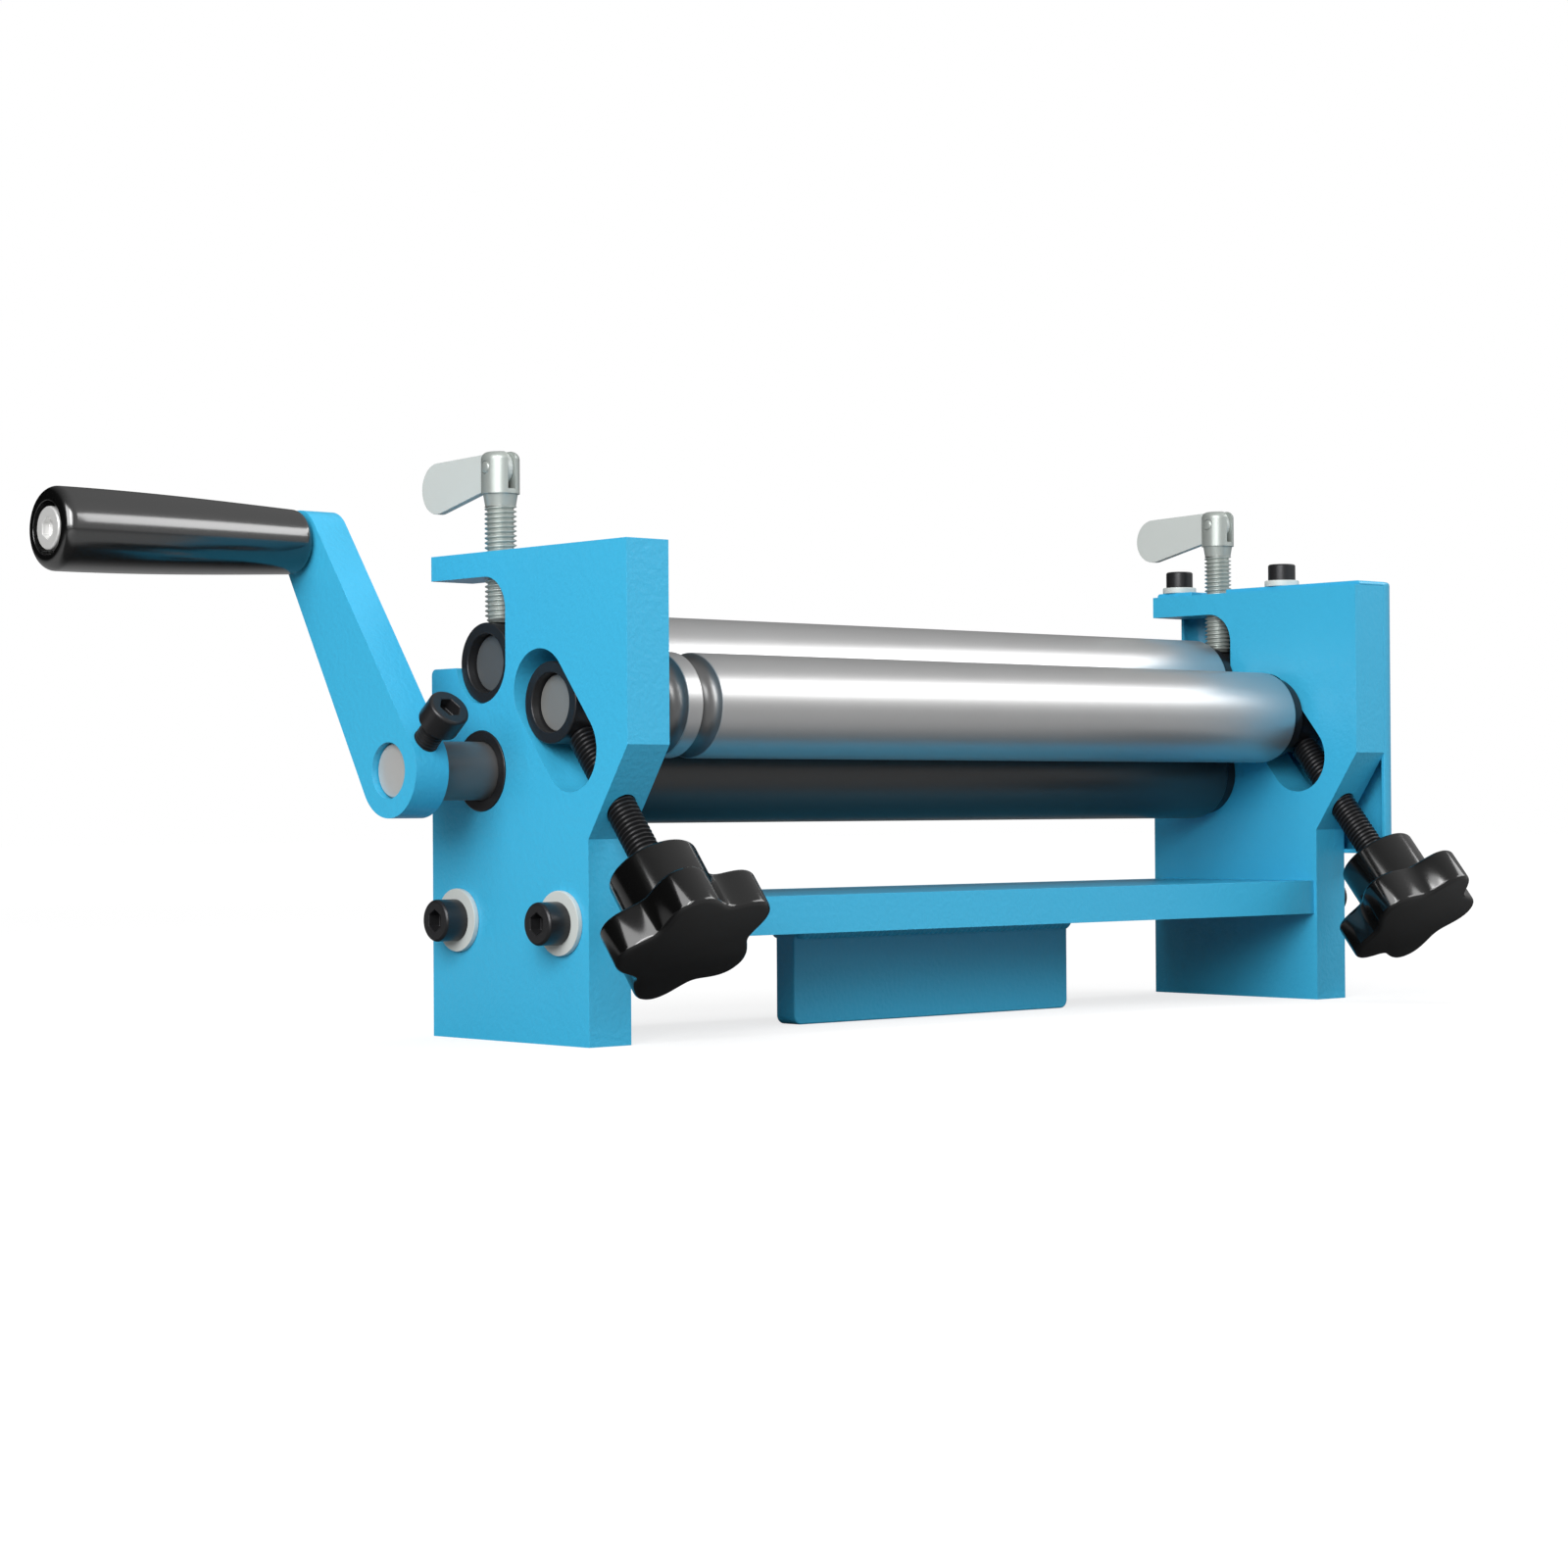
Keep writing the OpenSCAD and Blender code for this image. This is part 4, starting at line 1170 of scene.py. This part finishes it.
SOFTBOXES = (
    Softbox("strip softbox", place=(1.1, -0.95, 0.95), aim=(0.1, 0.0, 0.1), width=1.5,
            height=0.64, power=13.5),
    Softbox("left softbox", place=(-1.35, -0.70, 0.75), aim=(0.0, 0.0, 0.1), width=1.5,
            height=1.0, power=24.0),
    Softbox("left core", place=(-1.15, -0.78, 0.70), aim=(0.0, 0.0, 0.1), width=0.16,
            height=0.8, power=5.0),
    Softbox("top fill", place=(0.0, 0.1, 1.5), aim=(0.0, 0.0, 0.1), width=1.6, height=0.8,
            power=9.0, mirrored=False),
)


@dataclass
class Studio:
    """Floor, light and camera."""

    camera_place: Triple = (-788.52 * MM, -810.01 * MM, 69.54 * MM)
    camera_heading: float = -0.729423
    camera_pitch: float = 0.008291
    camera_roll: float = 0.006513
    lens: float = 76.314
    sensor: float = 36.0
    near_clip: float = 0.01
    far_clip: float = 50.0
    floor_size: float = 12.0
    floor_roughness: float = 0.9
    floor_bounce: float = 0.26
    floor_mirrored: float = 0.36
    # painted shadow: the floor's mirrored colour under the machine
    floor_painted_shade: float = 0.05
    painted_shade_edge: float = 60 * MM
    painted_shade_fade: float = 150 * MM
    floor_glow: float = 0.77
    far_glow: float = 0.94
    near_r: float = 0.5
    far_r: float = 2.5
    sky_level: float = 0.34
    sky_front: float = 0.34
    sky_top: float = 0.19
    sky_side: float = 0.22
    even_x: float = 0.667
    sky_diffuse: float = 0.65

    def build(self) -> None:
        """Make the floor, a strip at the right, a softbox at the left, a fill and the camera."""
        self.build_floor()
        for softbox in SOFTBOXES:
            softbox.hang()
        self.build_world()
        self.build_camera()

    def build_floor(self) -> None:
        """Make a floor that shows white and keeps the shadow; polished pieces mirror it grey, with
        painted shadow under the machine.
        """
        mesh = bmesh.new()
        bmesh.ops.create_grid(mesh, x_segments=1, y_segments=1, size=self.floor_size / 2)
        data = bpy.data.meshes.new("floor")
        mesh.to_mesh(data)
        mesh.free()
        floor = bpy.data.objects.new("floor", data)
        bpy.context.scene.collection.objects.link(floor)
        material, kit, shader = new_material("pale floor")
        path = kit.add("ShaderNodeLightPath")
        # painted shadow: polished pieces see the floor dark near the machine and lighter further
        # out in Y
        outward = kit.spread(kit.math("ABSOLUTE", kit.split().outputs["Y"]), 0.0, 1.0,
                             self.painted_shade_edge, self.painted_shade_fade)
        mirrored = kit.blend(outward, (self.floor_painted_shade,) * 3, (self.floor_mirrored,) * 3)
        colour = kit.blend(path.outputs["Is Glossy Ray"], (self.floor_bounce,) * 3, mirrored)
        glow = kit.spread(kit.math("LENGTH", kit.place(), kind=VECTORS), self.floor_glow,
                          self.far_glow, self.near_r, self.far_r)
        seen = kit.math("MULTIPLY", path.outputs["Is Camera Ray"], glow)
        kit.feed(shader, Base_Color=colour, Roughness=self.floor_roughness,
                 Specular_IOR_Level=0.0, Emission_Color=WHITE, Emission_Strength=seen)
        data.materials.append(material)

    def build_world(self) -> None:
        """Make a surrounding that shows white, but dark at the back and left to the metal."""
        world = bpy.data.worlds.new("surrounding")
        world.use_nodes = True
        kit = NodeKit(world.node_tree)
        background = next(n for n in world.node_tree.nodes if n.type == "BACKGROUND")
        path = kit.add("ShaderNodeLightPath")
        glossy = path.outputs["Is Glossy Ray"]
        split = kit.split("Generated")
        front = kit.math("MULTIPLY", split.outputs["Y"], -self.sky_front)
        top = kit.math("MULTIPLY", split.outputs["Z"], self.sky_top)
        sky = kit.math("ADD", kit.math("ADD", front, top), self.sky_level)
        sky = kit.math("MULTIPLY", sky, kit.spread(glossy, self.sky_diffuse, 1.0))
        side = kit.math("MULTIPLY", kit.math("SUBTRACT", split.outputs["X"], self.even_x),
                        self.sky_side)
        sky = kit.math("ADD", sky, kit.math("MULTIPLY", side, glossy))
        strength = kit.math("MAXIMUM", path.outputs["Is Camera Ray"], sky)
        kit.feed(background, Color=WHITE, Strength=strength)
        bpy.context.scene.world = world

    def build_camera(self) -> None:
        """Set the camera as the photograph has it."""
        camera = bpy.data.cameras.new("camera")
        camera.lens = self.lens
        camera.sensor_width = self.sensor
        camera.clip_start = self.near_clip
        camera.clip_end = self.far_clip
        holder = bpy.data.objects.new("camera", camera)
        turn = (Matrix.Rotation(self.camera_heading, 4, "Z")
                @ Matrix.Rotation(self.camera_pitch, 4, "X")
                @ Matrix.Rotation(self.camera_roll, 4, "Y")
                @ Matrix.Rotation(math.pi / 2, 4, "X"))
        holder.matrix_world = Matrix.Translation(self.camera_place) @ turn
        bpy.context.scene.collection.objects.link(holder)
        bpy.context.scene.camera = holder


def main() -> None:
    """Build the dressed model."""
    logging.basicConfig(level=logging.INFO, format="%(name)s: %(message)s")
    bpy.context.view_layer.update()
    shop = Workshop()
    for part in (Frame(shop), GearCover(shop), Rolls(shop), Crank(shop), WingScrews(shop),
                 StarScrews(shop)):
        part.build()
    Studio().build()
    bpy.context.scene.view_settings.view_transform = "Standard"
    LOG.info("%d pieces made", shop.count)


if __name__ == "__main__":
    main()
